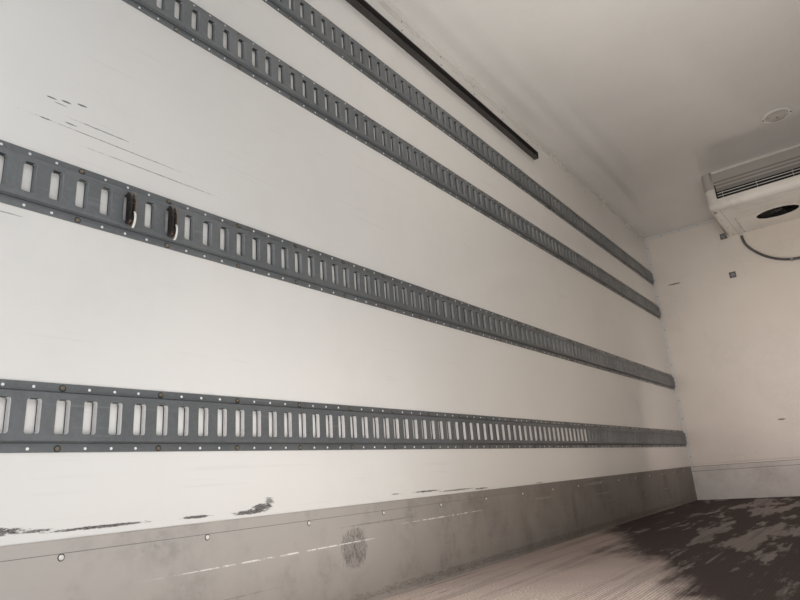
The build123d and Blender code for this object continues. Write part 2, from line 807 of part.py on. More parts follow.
nose_fan = axial_fan(nose_hub_radius, nose_hub_length, nose_fan_radius, nose_root_chord, nose_tip_chord, fan_blades)
for name, side in (("left", -1), ("right", 1)):
    with BuildPart() as condenser_fan:
        with Locations(Plane(origin=(side * nose_fan_x, motor_tip - nose_hub_length / 2, nose_base + nose_fan_z),
                             x_dir=(1, 0, 0), z_dir=(0, 1, 0))):
            add(nose_fan)
    save(condenser_fan.part, f"condenser_fan_{name}")

# Guards over the fan openings: a rim and level bars
with BuildPart() as fan_guards:
    with BuildSketch(Plane.XZ.offset(-(front_skin + nose_depth))):
        for side in (-1, 1):
            with Locations((side * nose_fan_x, nose_base + nose_fan_z)):
                Circle(nose_hole_radius + guard_rim)
        for side in (-1, 1):
            with Locations((side * nose_fan_x, nose_base + nose_fan_z)):
                Circle(nose_hole_radius, mode=Mode.SUBTRACT)
        for side in (-1, 1):
            for row in range(guard_rows):
                z = (row - (guard_rows - 1) / 2) * guard_pitch
                half = math.sqrt((nose_hole_radius + guard_rim / 2) ** 2 - z ** 2)
                with Locations((side * nose_fan_x, nose_base + nose_fan_z + z)):
                    Rectangle(2 * half, guard_bar)
    extrude(amount=guard_thickness)
save(fan_guards.part, "fan_guards")

# Rubber dock bumpers and lamps
with BuildPart() as dock_bumpers:
    for side in (-1, 1):
        x = side * bumper_x
        slab((x - bumper_width / 2, x + bumper_width / 2), (rear_y - bumper_depth, rear_y),
             (longsill_height + bumper_rise, longsill_height + bumper_rise + bumper_height))
save(dock_bumpers.part, "dock_bumpers")

with BuildPart() as tail_lamps:
    for side in (-1, 1):
        for x in tail_lamp_xs:
            with Locations(Plane(origin=(side * x, rear_y, tail_lamp_z), x_dir=(1, 0, 0), z_dir=(0, -1, 0))):
                Cylinder(tail_lamp_radius, tail_lamp_depth, align=(Align.CENTER, Align.CENTER, Align.MIN))
save(tail_lamps.part, "tail_lamps")

with BuildPart() as rear_markers:
    for x in rear_marker_xs:
        slab((x - marker_width / 2, x + marker_width / 2), (rear_y - marker_depth, rear_y),
             (roof_top - marker_drop - marker_height, roof_top - marker_drop))
save(rear_markers.part, "rear_markers")

with BuildPart() as front_markers:
    for side in (-1, 1):
        x = side * front_marker_x
        slab((x - marker_width / 2, x + marker_width / 2), (front_skin, front_skin + marker_depth),
             (roof_top - marker_drop - marker_height, roof_top - marker_drop))
save(front_markers.part, "front_markers")
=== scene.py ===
"""Looks of an insulated refrigerated load body: linings, cargo rails, cooling unit, doors and underframe."""

import logging
import math
from collections.abc import Callable
from dataclasses import dataclass, field
from enum import Enum

import bmesh
import bpy
import numpy as np
from mathutils import Matrix, Vector

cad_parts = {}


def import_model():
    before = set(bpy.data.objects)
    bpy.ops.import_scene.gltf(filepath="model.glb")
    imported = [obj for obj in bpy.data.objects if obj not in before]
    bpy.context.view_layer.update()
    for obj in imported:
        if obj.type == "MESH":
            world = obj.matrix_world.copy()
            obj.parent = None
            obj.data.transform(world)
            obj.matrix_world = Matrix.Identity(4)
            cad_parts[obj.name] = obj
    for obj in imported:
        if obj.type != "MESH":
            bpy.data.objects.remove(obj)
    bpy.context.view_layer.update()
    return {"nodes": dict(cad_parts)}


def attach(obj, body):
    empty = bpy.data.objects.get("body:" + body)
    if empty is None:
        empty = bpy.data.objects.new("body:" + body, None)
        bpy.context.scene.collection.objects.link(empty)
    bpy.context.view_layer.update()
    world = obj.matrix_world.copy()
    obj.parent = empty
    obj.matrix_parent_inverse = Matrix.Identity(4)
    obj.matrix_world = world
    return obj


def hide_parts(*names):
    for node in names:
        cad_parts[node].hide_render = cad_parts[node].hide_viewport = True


log = logging.getLogger("load_body")

Patch = tuple[np.ndarray, list[np.ndarray]]
Colour = tuple[float, float, float]
Socket = bpy.types.NodeSocket

ORIGIN = (0, 0, 0)
UP, DOWN = (0, 0, 1), (0, 0, -1)
FORTH, BACK = (0, 1, 0), (0, -1, 0)
RIGHT = (1, 0, 0)
SIDES = (-1, 1)


# Shapes


def rows(*columns: object) -> np.ndarray:
    """Numbers and arrays side by side as the last axis, each spread to the shape of them all."""
    return np.stack(np.broadcast_arrays(*columns), axis=-1)


def unit(vector: np.ndarray) -> np.ndarray:
    """Vectors divided by their lengths."""
    return vector / np.linalg.norm(vector, axis=-1, keepdims=True)


def grid_patch(points: np.ndarray, wrap_u: bool = False, wrap_v: bool = False) -> Patch:
    """Quads over a grid: cell (i, j) joins points (i, j), (i+1, j), (i+1, j+1) and (i, j+1).

    Args:
        points: Array of shape (nu, nv, 3). The faces look along u cross v.
        wrap_u: Joins the last row to the first.
        wrap_v: Joins the last column to the first.

    Returns:
        The points as rows, and one block of four-sided faces.
    """
    nu, nv = points.shape[:2]
    i, j = np.meshgrid(np.arange(nu if wrap_u else nu - 1), np.arange(nv if wrap_v else nv - 1), indexing="ij")
    i_next, j_next = (i + 1) % nu, (j + 1) % nv
    quads = rows(i * nv + j, i_next * nv + j, i_next * nv + j_next, i * nv + j_next)
    return points.reshape(-1, 3), [quads.reshape(-1, 4)]


def ring_patch(rings: np.ndarray, capped: bool = False) -> Patch:
    """Bands of quads between closed rings: u runs round a ring and v from ring to ring.

    Args:
        rings: Array of shape (rings, points in a ring, 3).
        capped: Closes the first ring and the last with a flat face.

    Returns:
        The patch, with the caps as many-sided faces.
    """
    points, faces = grid_patch(rings.transpose(1, 0, 2), wrap_u=True)
    count, around = rings.shape[:2]
    first = np.arange(around) * count
    return points, faces + ([first[::-1][None], (first + count - 1)[None]] if capped else [])


def rounded_outline(width: float, height: float, radius: float, steps: int = 1) -> np.ndarray:
    """Rectangle about the origin with quarter-circle corners, counter-clockwise.

    Args:
        width: Size along the first axis.
        height: Size along the second axis.
        radius: Corner radius.
        steps: Chords in each quarter circle.

    Returns:
        Array of shape (4 * (steps + 1), 2).
    """
    corners = np.array([[1, 1], [-1, 1], [-1, -1], [1, -1]]) * (np.array([width, height]) / 2 - radius)
    angle = np.arange(4)[:, None] * math.pi / 2 + np.linspace(0, math.pi / 2, steps + 1)
    return (corners[:, None] + radius * rows(np.cos(angle), np.sin(angle))).reshape(-1, 2)


def circle(sides: int, start: float = 0.0) -> np.ndarray:
    """Cosine and sine of even steps of a full turn, the first one at a share of a step."""
    angle = 2 * math.pi * (np.arange(sides) + start) / sides
    return rows(np.cos(angle), np.sin(angle))


def block_patch(low: tuple, high: tuple, edge: float, steps: int = 1) -> Patch:
    """Block with softened edges: a rounded rectangle in XY carried up Z and drawn in at both ends.

    Args:
        low: One corner.
        high: The corner across.
        edge: Radius of the edges.
        steps: Chords in each quarter of an edge.

    Returns:
        A closed patch.
    """
    low, high = np.minimum(low, high), np.maximum(low, high)
    size, centre = high - low, (low + high) / 2
    edge = min(edge, 0.49 * float(size.min()))
    turn = np.linspace(0, math.pi / 2, steps + 1)
    closing, opening = edge * (1 - np.sin(turn)), edge * (1 - np.cos(turn))
    inset = np.concatenate([closing, opening])[:, None, None]
    level = np.concatenate([low[2] + opening, high[2] - closing])
    base = rounded_outline(size[0], size[1], edge, steps)
    flat = base - np.sign(base) * np.minimum(np.abs(base), inset) + centre[:2]
    return ring_patch(rows(flat[..., 0], flat[..., 1], level[:, None]), True)


def lathe_patch(profile: list, sides: int) -> Patch:
    """Turned surface about Z: each (radius, height) of the profile is carried round a full turn.

    Args:
        profile: Points from the bottom of the axis, out, up and back to the axis.
        sides: Steps in the turn.

    Returns:
        A patch closed where the profile starts and ends on the axis.
    """
    radius, height = np.asarray(profile, float).T
    x, y = circle(sides).T
    return grid_patch(rows(np.outer(x, radius), np.outer(y, radius), height), wrap_u=True)


def sweep_patch(outline: np.ndarray, path: np.ndarray, up: tuple, closed: bool = False) -> Patch:
    """Closed outline carried along a flat path, mitred where the path turns.

    The ring at a point is the point, plus the outline's first coordinate along up cross tangent,
    plus its second along up. At a turn the first is divided by the cosine of half the turn.

    Args:
        outline: Array (k, 2), counter-clockwise.
        path: Array (n, 3), in a plane square to up.
        up: Direction square to the path's plane.
        closed: Joins the last ring to the first.

    Returns:
        The patch, capped unless it is closed.
    """
    path = np.asarray(path, float)
    step = unit(np.diff(path, axis=0, append=path[:1]) if closed else np.diff(path, axis=0))
    before = np.roll(step, 1, axis=0) if closed else np.vstack([step[:1], step])
    after = step if closed else np.vstack([step, step[-1:]])
    tangent = unit(before + after)
    mitre = 1 / np.maximum(0.3, (tangent * after).sum(1))
    side = np.cross(up, tangent) * mitre[:, None]
    rings = path[:, None] + outline[:, :1] * side[:, None] + outline[:, 1:] * np.array(up, float)
    if closed:
        return grid_patch(rings.transpose(1, 0, 2), True, True)
    return ring_patch(rings, True)


def aimed(patch: Patch, place: tuple, axis: tuple, spin: float = 0.0) -> Patch:
    """A patch turned about Z by spin, its Z then laid along axis, and moved to a place.

    Args:
        patch: Points and faces about the origin.
        place: Where the origin goes.
        axis: Direction that Z takes.
        spin: First turn about Z, in radians.

    Returns:
        The moved patch.
    """
    turn = Vector(UP).rotation_difference(Vector(axis)).to_matrix() @ Matrix.Rotation(spin, 3, "Z")
    return patch[0] @ np.array(turn).T + np.asarray(place, float), patch[1]


def flipped(patch: Patch) -> Patch:
    """The patch with its faces turned to look the other way."""
    return patch[0], [block[:, ::-1] for block in patch[1]]


def mirrored(patch: Patch) -> Patch:
    """The patch on the other side of the YZ plane, its faces turned round to look outwards."""
    return flipped((patch[0] * np.array([-1.0, 1.0, 1.0]), patch[1]))


def rod_patch(start: tuple, end: tuple, radius: float, sides: int = 10) -> Patch:
    """Round bar between two points, with a small chamfer at both ends.

    Args:
        start: Middle of one end.
        end: Middle of the other.
        radius: Its radius.
        sides: Steps round it.

    Returns:
        A closed patch.
    """
    run = np.asarray(end, float) - start
    length = float(np.linalg.norm(run))
    cut = min(0.15 * radius, 0.2 * length)
    return aimed(lathe_patch([(0, 0), (radius - cut, 0), (radius, cut), (radius, length - cut),
                              (radius - cut, length), (0, length)], sides), start, run)


def dome_patch(radius: float, height: float, axis: tuple, sides: int = 8) -> Patch:
    """Rivet head at the origin: a low dome on a closed base, looking along an axis."""
    return aimed(lathe_patch([(0, 0), (radius, 0), (0.94 * radius, 0.45 * height), (0.62 * radius, 0.86 * height),
                              (0, height)], sides), ORIGIN, axis)


def bolt_patch(radius: float, height: float, axis: tuple, spin: float = 0.0) -> Patch:
    """Bolt head at the origin: a six-sided washer and head with a chamfered top, looking along an axis."""
    return aimed(lathe_patch([(0, 0), (1.45 * radius, 0), (1.45 * radius, 0.22 * height), (radius, 0.22 * height),
                              (radius, 0.85 * height), (0.84 * radius, height), (0, height)], 6), ORIGIN, axis, spin)


@dataclass
class Stock:
    """Patches of surface gathered for one piece, each with the number of its finish."""

    points: list = field(default_factory=list)
    blocks: list = field(default_factory=list)
    count: int = 0

    def take(self, other: "Stock", place: tuple = ORIGIN) -> "Stock":
        """Takes in another stock moved to a place, and returns the stock.

        Args:
            other: The stock to take in.
            place: Where its origin goes.

        Returns:
            This stock.
        """
        self.blocks += [(block + self.count, finish) for block, finish in other.blocks]
        self.points.append(np.concatenate(other.points) + np.asarray(place, float))
        self.count += other.count
        return self

    def add(self, patch: Patch, finish: int = 0, place: tuple = ORIGIN) -> "Stock":
        """Takes in one patch moved to a place, and returns the stock."""
        return self.take(Stock([patch[0]], [(block, finish) for block in patch[1]], len(patch[0])), place)

    def repeat(self, patch: Patch, offsets: np.ndarray, finish: int = 0) -> "Stock":
        """Takes in a copy of one patch at each row of offsets, and returns the stock.

        Args:
            patch: The patch to copy.
            offsets: Where its origin goes, a row for each copy.
            finish: Number of its finish.

        Returns:
            This stock.
        """
        points, faces = patch
        offsets = np.asarray(offsets, float).reshape(-1, 3)
        shift = np.arange(len(offsets))[:, None, None] * len(points)
        blocks = [(block + shift).reshape(-1, block.shape[1]) for block in faces]
        return self.add(((points + offsets[:, None]).reshape(-1, 3), blocks), finish)

    def both_sides(self, patch: Patch, finish: int = 0) -> "Stock":
        """Takes in a patch and its mirror image, and returns the stock."""
        return self.add(patch, finish).add(mirrored(patch), finish)

    def block(self, low: tuple, high: tuple, edge: float, finish: int = 0, steps: int = 1) -> None:
        """Takes in a block between two corners."""
        self.add(block_patch(low, high, edge, steps), finish)

    def rod(self, start: tuple, end: tuple, radius: float, finish: int = 0, sides: int = 10) -> None:
        """Takes in a round bar between two points."""
        self.add(rod_patch(start, end, radius, sides), finish)

    def turned(self, profile: list, sides: int, place: tuple, axis: tuple, finish: int = 0) -> None:
        """Takes in a turned profile, its foot at a place and its height along an axis."""
        self.add(aimed(lathe_patch(profile, sides), place, axis), finish)

    def sweep(self, outline: np.ndarray, path: np.ndarray, up: tuple = UP, finish: int = 0) -> None:
        """Takes in an outline carried along a path."""
        self.add(sweep_patch(outline, path, up), finish)

    def patch(self) -> Patch:
        """Everything in it as one patch."""
        return np.concatenate(self.points), [block for block, _ in self.blocks]

    def changed(self, change: Callable) -> "Stock":
        """The same stock with one change made to all of its shapes."""
        points, faces = change(self.patch())
        return Stock([points], [(face, finish) for face, (_, finish) in zip(faces, self.blocks)], self.count)

    def other_side(self) -> "Stock":
        """The same stock mirrored to the right."""
        return self.changed(mirrored)

    def piece(self, name: str, body: str, finishes: tuple, slot: str, node: str = "", crease: float = 34.0) -> None:
        """Makes the mesh, welds its seams, lets it ride on a body and stand for a solid.

        Args:
            name: Name of the piece.
            body: CAD body it moves with.
            finishes: Names of its finishes, in the order of their numbers.
            slot: The record's material slot; not used.
            node: CAD node it replaces, if any.
            crease: Angle in degrees above which an edge stays sharp.
        """
        points, blocks = self.patch()
        mesh = bpy.data.meshes.new(name)
        mesh.from_pydata(points.tolist(), [], [face for block in blocks for face in block.tolist()])
        marks = np.concatenate([np.full(len(block), finish, np.int32) for block, finish in self.blocks])
        mesh.polygons.foreach_set("material_index", marks)
        for finish in finishes:
            mesh.materials.append(coat(finish))
        weld(mesh)
        mesh.polygons.foreach_set("use_smooth", np.ones(len(mesh.polygons), bool))
        mesh.set_sharp_from_angle(angle=math.radians(crease))
        made = in_scene(name, mesh)
        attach(made, body)
        if node:
            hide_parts(node)
        log.info("%s: %d faces on %s", name, len(mesh.polygons), body)


def in_scene(name: str, data: bpy.types.ID) -> bpy.types.Object:
    """A new object of that name and data, linked to the scene."""
    made = bpy.data.objects.new(name, data)
    bpy.context.scene.collection.objects.link(made)
    return made


def weld(mesh: bpy.types.Mesh) -> None:
    """Merges points that meet and drops faces without area.

    Args:
        mesh: The mesh, changed in place.
    """
    work = bmesh.new()
    work.from_mesh(mesh)
    bmesh.ops.remove_doubles(work, verts=work.verts, dist=2e-6)
    bmesh.ops.dissolve_degenerate(work, edges=work.edges, dist=1e-6)
    work.to_mesh(mesh)
    work.free()
    mesh.update()


# Places


@dataclass(frozen=True)
class Plan:
    """Main places of the load body, in metres, as the solids have them."""

    half_inside: float = 1.194
    rear: float = -2.9232
    frame_front: float = -2.7962
    bulkhead: float = 2.4616
    front_skin: float = 2.5632
    body_half: float = 1.2956
    floor: float = 0.3175
    ceiling: float = 2.5475
    roof: float = 2.6491
    rivet_pitch: float = 0.3048

    def station(self, distance: float) -> float:
        """Y of a distance forward from the rear face."""
        return self.rear + distance

    def above(self, height: float) -> float:
        """Z of a height above the load floor."""
        return self.floor + height

    def on_wall(self, station: float, height: float) -> tuple:
        """Point of the left wall at a station and a height."""
        return -self.half_inside, self.station(station), self.above(height)


PLAN = Plan()


# Finishes


class Wiring:
    """Places and joins the nodes of one material or node group."""

    def __init__(self, tree: bpy.types.NodeTree) -> None:
        """Keeps the tree that the nodes go into."""
        self.tree = tree

    def node(self, kind: str, inputs: object = (), **settings: object) -> bpy.types.Node:
        """Adds a shader node, sets its properties and feeds its inputs.

        Args:
            kind: Its type, without the word that all shader nodes start with.
            inputs: Values in the order of the sockets, or by socket.
            settings: Its properties.

        Returns:
            The new node.
        """
        made = self.tree.nodes.new(kind if kind.startswith("NodeGroup") else f"ShaderNode{kind}")
        for key, value in settings.items():
            setattr(made, key, value)
        for key, value in inputs.items() if isinstance(inputs, dict) else enumerate(inputs):
            self.feed(made.inputs[key], value)
        return made

    def feed(self, socket: Socket, value: object) -> None:
        """Gives a socket a value or a link, whichever it is handed, or leaves it as it is for None.

        Args:
            socket: Socket of a node.
            value: A value, another socket or None.
        """
        if isinstance(value, Socket):
            self.tree.links.new(value, socket)
        elif value is not None:
            socket.default_value = (*value, 1.0) if socket.type == "RGBA" and len(value) == 3 else value

    def stretched(self, place: Socket, scale: tuple) -> Socket:
        """A place multiplied axis by axis."""
        return self.vector("MULTIPLY", place, scale)

    def vector(self, operation: str, a: object, b: object) -> Socket:
        """One step of arithmetic on two places."""
        made = self.node("VectorMath", (a, b), operation=operation)
        return made.outputs["Value" if operation == "LENGTH" else "Vector"]

    def maths(self, operation: str, a: object, b: object = 0.0, c: object = None, clamp: bool = False) -> Socket:
        """One step of arithmetic on two or three numbers."""
        return self.node("Math", (a, b, c), operation=operation, use_clamp=clamp).outputs[0]

    def times(self, a: object, b: object, clamp: bool = False) -> Socket:
        """Product of two numbers."""
        return self.maths("MULTIPLY", a, b, clamp=clamp)

    def plus(self, a: object, b: object, clamp: bool = False) -> Socket:
        """Sum of two numbers."""
        return self.maths("ADD", a, b, clamp=clamp)

    def less(self, a: object, b: object, clamp: bool = False) -> Socket:
        """The first number less the second."""
        return self.maths("SUBTRACT", a, b, clamp=clamp)

    def most(self, a: object, b: object) -> Socket:
        """The larger of two numbers."""
        return self.maths("MAXIMUM", a, b)

    def part(self, place: Socket, axis: int) -> Socket:
        """One coordinate of a place."""
        return self.node("SeparateXYZ", (place,)).outputs[axis]

    def span(self, value: object, low: float, high: float, out_low: float = 0.0, out_high: float = 1.0) -> Socket:
        """A value carried smoothly from one range onto another, and held at its ends."""
        made = self.node("MapRange", (value, low, high, out_low, out_high), interpolation_type="SMOOTHSTEP")
        return made.outputs["Result"]

    def noise(self, vector: object, scale: float, detail: float = 3.0, rough: float = 0.55) -> Socket:
        """Cloudy noise from 0 to 1."""
        values = {"Vector": vector, "Scale": scale, "Detail": detail, "Roughness": rough}
        return self.node("TexNoise", values).outputs["Fac"]

    def cells(self, vector: object, scale: float) -> Socket:
        """A grey of its own for each cell of a broken pattern."""
        made = self.node("TexVoronoi", {"Vector": vector, "Scale": scale})
        return self.node("SeparateColor", (made.outputs["Color"],)).outputs[0]

    def blend(self, mask: object, a: object, b: object) -> Socket:
        """Colour a where the mask is 0 and b where it is 1."""
        return self.node("Mix", {0: mask, 6: a, 7: b}, data_type="RGBA").outputs[2]

    def by_doorway(self, place: Socket, near: float, far: float) -> Socket:
        """1 up to a distance in from the doorway, falling to 0 at a second one, with a cloudy edge.

        Args:
            place: Point of the surface.
            near: Distance up to which it is 1.
            far: Distance from which it is 0.

        Returns:
            The mask.
        """
        cloud = self.times(self.noise(place, 1.4, 4.0, 0.65), 1.2)
        depth = self.plus(self.part(place, 1), cloud)
        return self.span(depth, PLAN.station(far + 0.6), PLAN.station(near + 0.6))

    def bump(self, height: object, distance: float, strength: float = 1.0, normal: object = None) -> Socket:
        """Normal of a surface raised by a height from 0 to 1, times a distance in metres."""
        values = {"Height": height, "Distance": distance, "Strength": strength, "Normal": normal}
        return self.node("Bump", values).outputs["Normal"]


@dataclass(frozen=True)
class Effect:
    """A mask that several finishes share: a node group built once, with named inputs and one output."""

    name: str
    inputs: tuple
    build: Callable

    def tree(self) -> bpy.types.NodeTree:
        """The group, built the first time it is asked for. An input without a first value is a place."""
        made = bpy.data.node_groups.get(self.name)
        if made:
            return made
        made = bpy.data.node_groups.new(self.name, "ShaderNodeTree")
        for label, value in self.inputs:
            kind = "NodeSocketVector" if value is None else "NodeSocketFloat"
            socket = made.interface.new_socket(label, in_out="INPUT", socket_type=kind)
            if value is not None:
                socket.default_value = value
        made.interface.new_socket("Mask", in_out="OUTPUT", socket_type="NodeSocketFloat")
        wiring = Wiring(made)
        wiring.node("NodeGroupOutput", (self.build(wiring, wiring.node("NodeGroupInput").outputs),))
        return made

    def mask(self, wiring: Wiring, *values: object) -> Socket:
        """Places the group in a material with values in the order of its inputs, and gives its mask."""
        return wiring.node("Group", values, node_tree=self.tree()).outputs[0]


def dirt_mask(wiring: Wiring, entry: object) -> Socket:
    """Broken patches: cloudy noise cut at a level, times a finer noise.

    Args:
        wiring: Wiring of the group.
        entry: Its inputs by name.

    Returns:
        The mask.
    """
    cut = wiring.span(wiring.noise(entry["Place"], entry["Scale"], 4.0, 0.6), 0.42, 0.72)
    fine = wiring.noise(entry["Place"], wiring.times(entry["Scale"], 9.0), 3.0, 0.7)
    grain = wiring.maths("MULTIPLY_ADD", wiring.span(fine, 0.35, 0.68), 0.7, 0.5, clamp=True)
    return wiring.times(wiring.times(cut, grain), entry["Amount"], True)


def scratch_mask(wiring: Wiring, entry: object) -> Socket:
    """Long thin scratches: noise stretched along one axis, kept only on its highest crests.

    Args:
        wiring: Wiring of the group.
        entry: Its inputs by name.

    Returns:
        The mask.
    """
    crest = wiring.span(wiring.noise(entry["Stretched Place"], 1.0, 2.0, 0.5), 0.63, 0.68)
    broken = wiring.span(wiring.noise(entry["Place"], 5.0, 2.0), 0.45, 0.6)
    return wiring.times(wiring.times(crest, broken), entry["Amount"], True)


def placed_mask(wiring: Wiring, entry: object) -> Socket:
    """A mark of given half sizes about a centre: 1 inside, with an edge and a filling broken by noise.

    Args:
        wiring: Wiring of the group.
        entry: Its inputs by name.

    Returns:
        The mask.
    """
    share = wiring.vector("DIVIDE", wiring.vector("SUBTRACT", entry["Place"], entry["Centre"]), entry["Half Size"])
    far = wiring.vector("LENGTH", share, None)
    ragged = wiring.less(wiring.noise(entry["Torn Place"], 1.0, 4.0, 0.75), 0.5)
    torn = wiring.maths("MULTIPLY_ADD", ragged, entry["Torn"], far)
    speck = wiring.span(wiring.noise(entry["Torn Place"], 3.2, 5.0, 0.8), 0.43, 0.56)
    kept = wiring.blend(entry["Speckle"], (1.0, 1.0, 1.0), speck)
    return wiring.times(wiring.times(wiring.span(torn, 1.0, 0.62), kept), entry["Amount"], True)


DIRT = Effect("dirt_patches", (("Place", None), ("Scale", 3.0), ("Amount", 0.5)), dirt_mask)
SCRATCHES = Effect("thin_scratches", (("Place", None), ("Stretched Place", None), ("Amount", 0.5)), scratch_mask)
PLACED = Effect("placed_mark", (("Place", None), ("Centre", None), ("Half Size", None), ("Torn Place", None),
                                ("Torn", 1.6), ("Speckle", 0.9), ("Amount", 0.8)), placed_mask)


@dataclass(frozen=True)
class Mark:
    """One scuff or stain at a known place, in metres."""

    centre: tuple
    half: tuple
    tint: Colour
    amount: float = 0.8
    torn: float = 1.6
    grain: tuple = (40.0, 26.0, 190.0)
    speckle: float = 0.9


class Grain(Enum):
    """Direction in which a sheet was rolled or gets scratched, as the scale that stretches noise."""

    ALONG_BODY = (90.0, 1.6, 90.0)
    ACROSS = (1.6, 90.0, 90.0)
    UPRIGHT = (90.0, 90.0, 1.6)


class Finish:
    """Shared steps of every finish: a Principled shader fed by a colour, a roughness and a normal."""

    name: str
    marks: tuple = ()

    def material(self) -> bpy.types.Material:
        """The material of this name, built the first time."""
        made = bpy.data.materials.get(f"fin_{self.name}")
        if made:
            return made
        made = bpy.data.materials.new(f"fin_{self.name}")
        made.use_nodes = True
        made.node_tree.nodes.clear()
        wiring = Wiring(made.node_tree)
        shader = wiring.node("BsdfPrincipled", self.wire(wiring, wiring.node("TexCoord").outputs["Object"]))
        wiring.node("OutputMaterial", (shader.outputs["BSDF"],))
        return made

    def wire(self, wiring: Wiring, place: Socket) -> dict:
        """The shader's inputs for this finish, from the place on the piece in the shared frame."""
        raise NotImplementedError

    def marked(self, wiring: Wiring, place: Socket, colour: Socket, grime: Socket) -> tuple[Socket, Socket]:
        """Lays the placed marks over a colour, and joins them to the grime.

        Args:
            wiring: Wiring of the material.
            place: Point of the surface.
            colour: Colour under the marks.
            grime: Mask of the dirt.

        Returns:
            The new colour and grime.
        """
        for mark in self.marks:
            mask = PLACED.mask(wiring, place, mark.centre, mark.half, wiring.stretched(place, mark.grain), mark.torn,
                               mark.speckle, mark.amount)
            colour = wiring.blend(mask, colour, mark.tint)
            grime = wiring.most(grime, mask)
        return colour, grime


@dataclass(frozen=True)
class Painted(Finish):
    """Gel-coated, painted or moulded surface with dirt, thin scratches and placed marks."""

    name: str
    colour: Colour
    shade: Colour
    rough: float = 0.3
    peel: float = 0.00004
    peel_scale: float = 60.0
    dirt: float = 0.35
    dirt_scale: float = 2.2
    dirt_tint: Colour = (0.32, 0.28, 0.24)
    scratch: float = 0.25
    grain: Grain = Grain.ALONG_BODY
    coat: float = 0.0
    marks: tuple = ()

    def wire(self, wiring: Wiring, place: Socket) -> dict:
        """Colour from two shades, dirt, scratches and marks; roughness from dirt; normal from a fine peel.

        Args:
            wiring: Wiring of the material.
            place: Point of the surface.

        Returns:
            Values and links of the shader, by socket.
        """
        tone = wiring.span(wiring.noise(place, 0.9), 0.35, 0.68)
        dirt = DIRT.mask(wiring, place, self.dirt_scale, self.dirt)
        colour = wiring.blend(dirt, wiring.blend(tone, self.colour, self.shade), self.dirt_tint)
        scratch = SCRATCHES.mask(wiring, place, wiring.stretched(place, self.grain.value), self.scratch)
        colour, grime = self.marked(wiring, place, wiring.blend(scratch, colour, self.dirt_tint), dirt)
        peel = wiring.bump(wiring.noise(place, self.peel_scale, 2.0), self.peel)
        return {"Base Color": colour, "Roughness": wiring.maths("MULTIPLY_ADD", grime, 0.35, self.rough, clamp=True),
                "Normal": wiring.bump(scratch, -0.00015, 0.5, peel), "IOR": 1.49, "Coat Weight": self.coat,
                "Coat Roughness": 0.12}


@dataclass(frozen=True)
class Metal(Finish):
    """Bare, galvanised or plated metal with spangle, rolling grain, scratches and rust."""

    name: str
    colour: Colour
    shade: Colour
    rough: float = 0.38
    metallic: float = 0.85
    spangle: float = 0.1
    spangle_scale: float = 70.0
    scratch: float = 0.4
    scratch_tint: Colour = (0.62, 0.62, 0.60)
    grain: Grain = Grain.ALONG_BODY
    rust: float = 0.0
    rust_tint: Colour = (0.16, 0.075, 0.035)
    dirt: float = 0.25
    dirt_tint: Colour = (0.10, 0.09, 0.08)
    marks: tuple = ()
    # Colour by the doorway: rubbed by loads, and lightened as painted daylight; None leaves the colour as it is.
    rubbed_and_daylit: Colour | None = None

    def wire(self, wiring: Wiring, place: Socket) -> dict:
        """Colour from spangle cells, dirt, rust and scratches, and a grained roughness and normal.

        Args:
            wiring: Wiring of the material.
            place: Point of the surface.

        Returns:
            Values and links of the shader, by socket.
        """
        cells = wiring.cells(place, self.spangle_scale)
        broad = wiring.noise(place, 4.0, 4.0, 0.6)
        tone = wiring.plus(wiring.times(cells, self.spangle), wiring.times(broad, 1.0 - self.spangle))
        colour = wiring.blend(wiring.span(tone, 0.25, 0.75), self.colour, self.shade)
        # Lighter towards the doorway: partly rubbed wear, partly painted daylight.
        if self.rubbed_and_daylit:
            colour = wiring.blend(wiring.by_doorway(place, 0.9, 3.1), colour, self.rubbed_and_daylit)
        dirt = DIRT.mask(wiring, place, 5.0, self.dirt)
        colour = wiring.blend(dirt, colour, self.dirt_tint)
        stretched = wiring.stretched(place, self.grain.value)
        scratch = SCRATCHES.mask(wiring, place, stretched, self.scratch)
        colour = wiring.blend(scratch, colour, self.scratch_tint)
        rust = DIRT.mask(wiring, wiring.vector("SUBTRACT", place, (3.1, 1.7, 0.4)), 17.0, self.rust)
        colour = wiring.blend(rust, colour, self.rust_tint)
        colour, grime = self.marked(wiring, place, colour, wiring.most(dirt, rust))
        brushed = wiring.noise(stretched, 2.4)
        rough = wiring.plus(wiring.times(brushed, 0.16), wiring.times(grime, 0.35))
        normal = wiring.bump(cells, 0.00004, 0.6, wiring.bump(brushed, 0.00003))
        return {"Base Color": colour, "Roughness": wiring.plus(rough, self.rough - 0.08, True),
                "Metallic": wiring.times(wiring.less(1.0, grime, True), self.metallic),
                "Normal": wiring.bump(scratch, -0.0002, 0.6, normal)}


@dataclass(frozen=True)
class Rubber(Finish):
    """Rubber, hose or matt plastic with a dusty bloom and fine pores."""

    name: str
    colour: Colour
    bloom: Colour
    rough: float = 0.62
    bloom_amount: float = 0.5
    pore: float = 0.00005

    def wire(self, wiring: Wiring, place: Socket) -> dict:
        """Colour from the rubber and its bloom, and a fine pored normal.

        Args:
            wiring: Wiring of the material.
            place: Point of the surface.

        Returns:
            Values and links of the shader, by socket.
        """
        bloom = DIRT.mask(wiring, place, 9.0, self.bloom_amount)
        grey = wiring.blend(wiring.span(wiring.noise(place, 35.0), 0.3, 0.7), self.colour, self.bloom)
        return {"Base Color": wiring.blend(bloom, wiring.blend(0.8, grey, self.colour), self.bloom),
                "Roughness": wiring.span(bloom, 0.0, 1.0, self.rough, min(0.95, self.rough + 0.2)),
                "Normal": wiring.bump(wiring.noise(place, 380.0, 2.0), self.pore)}


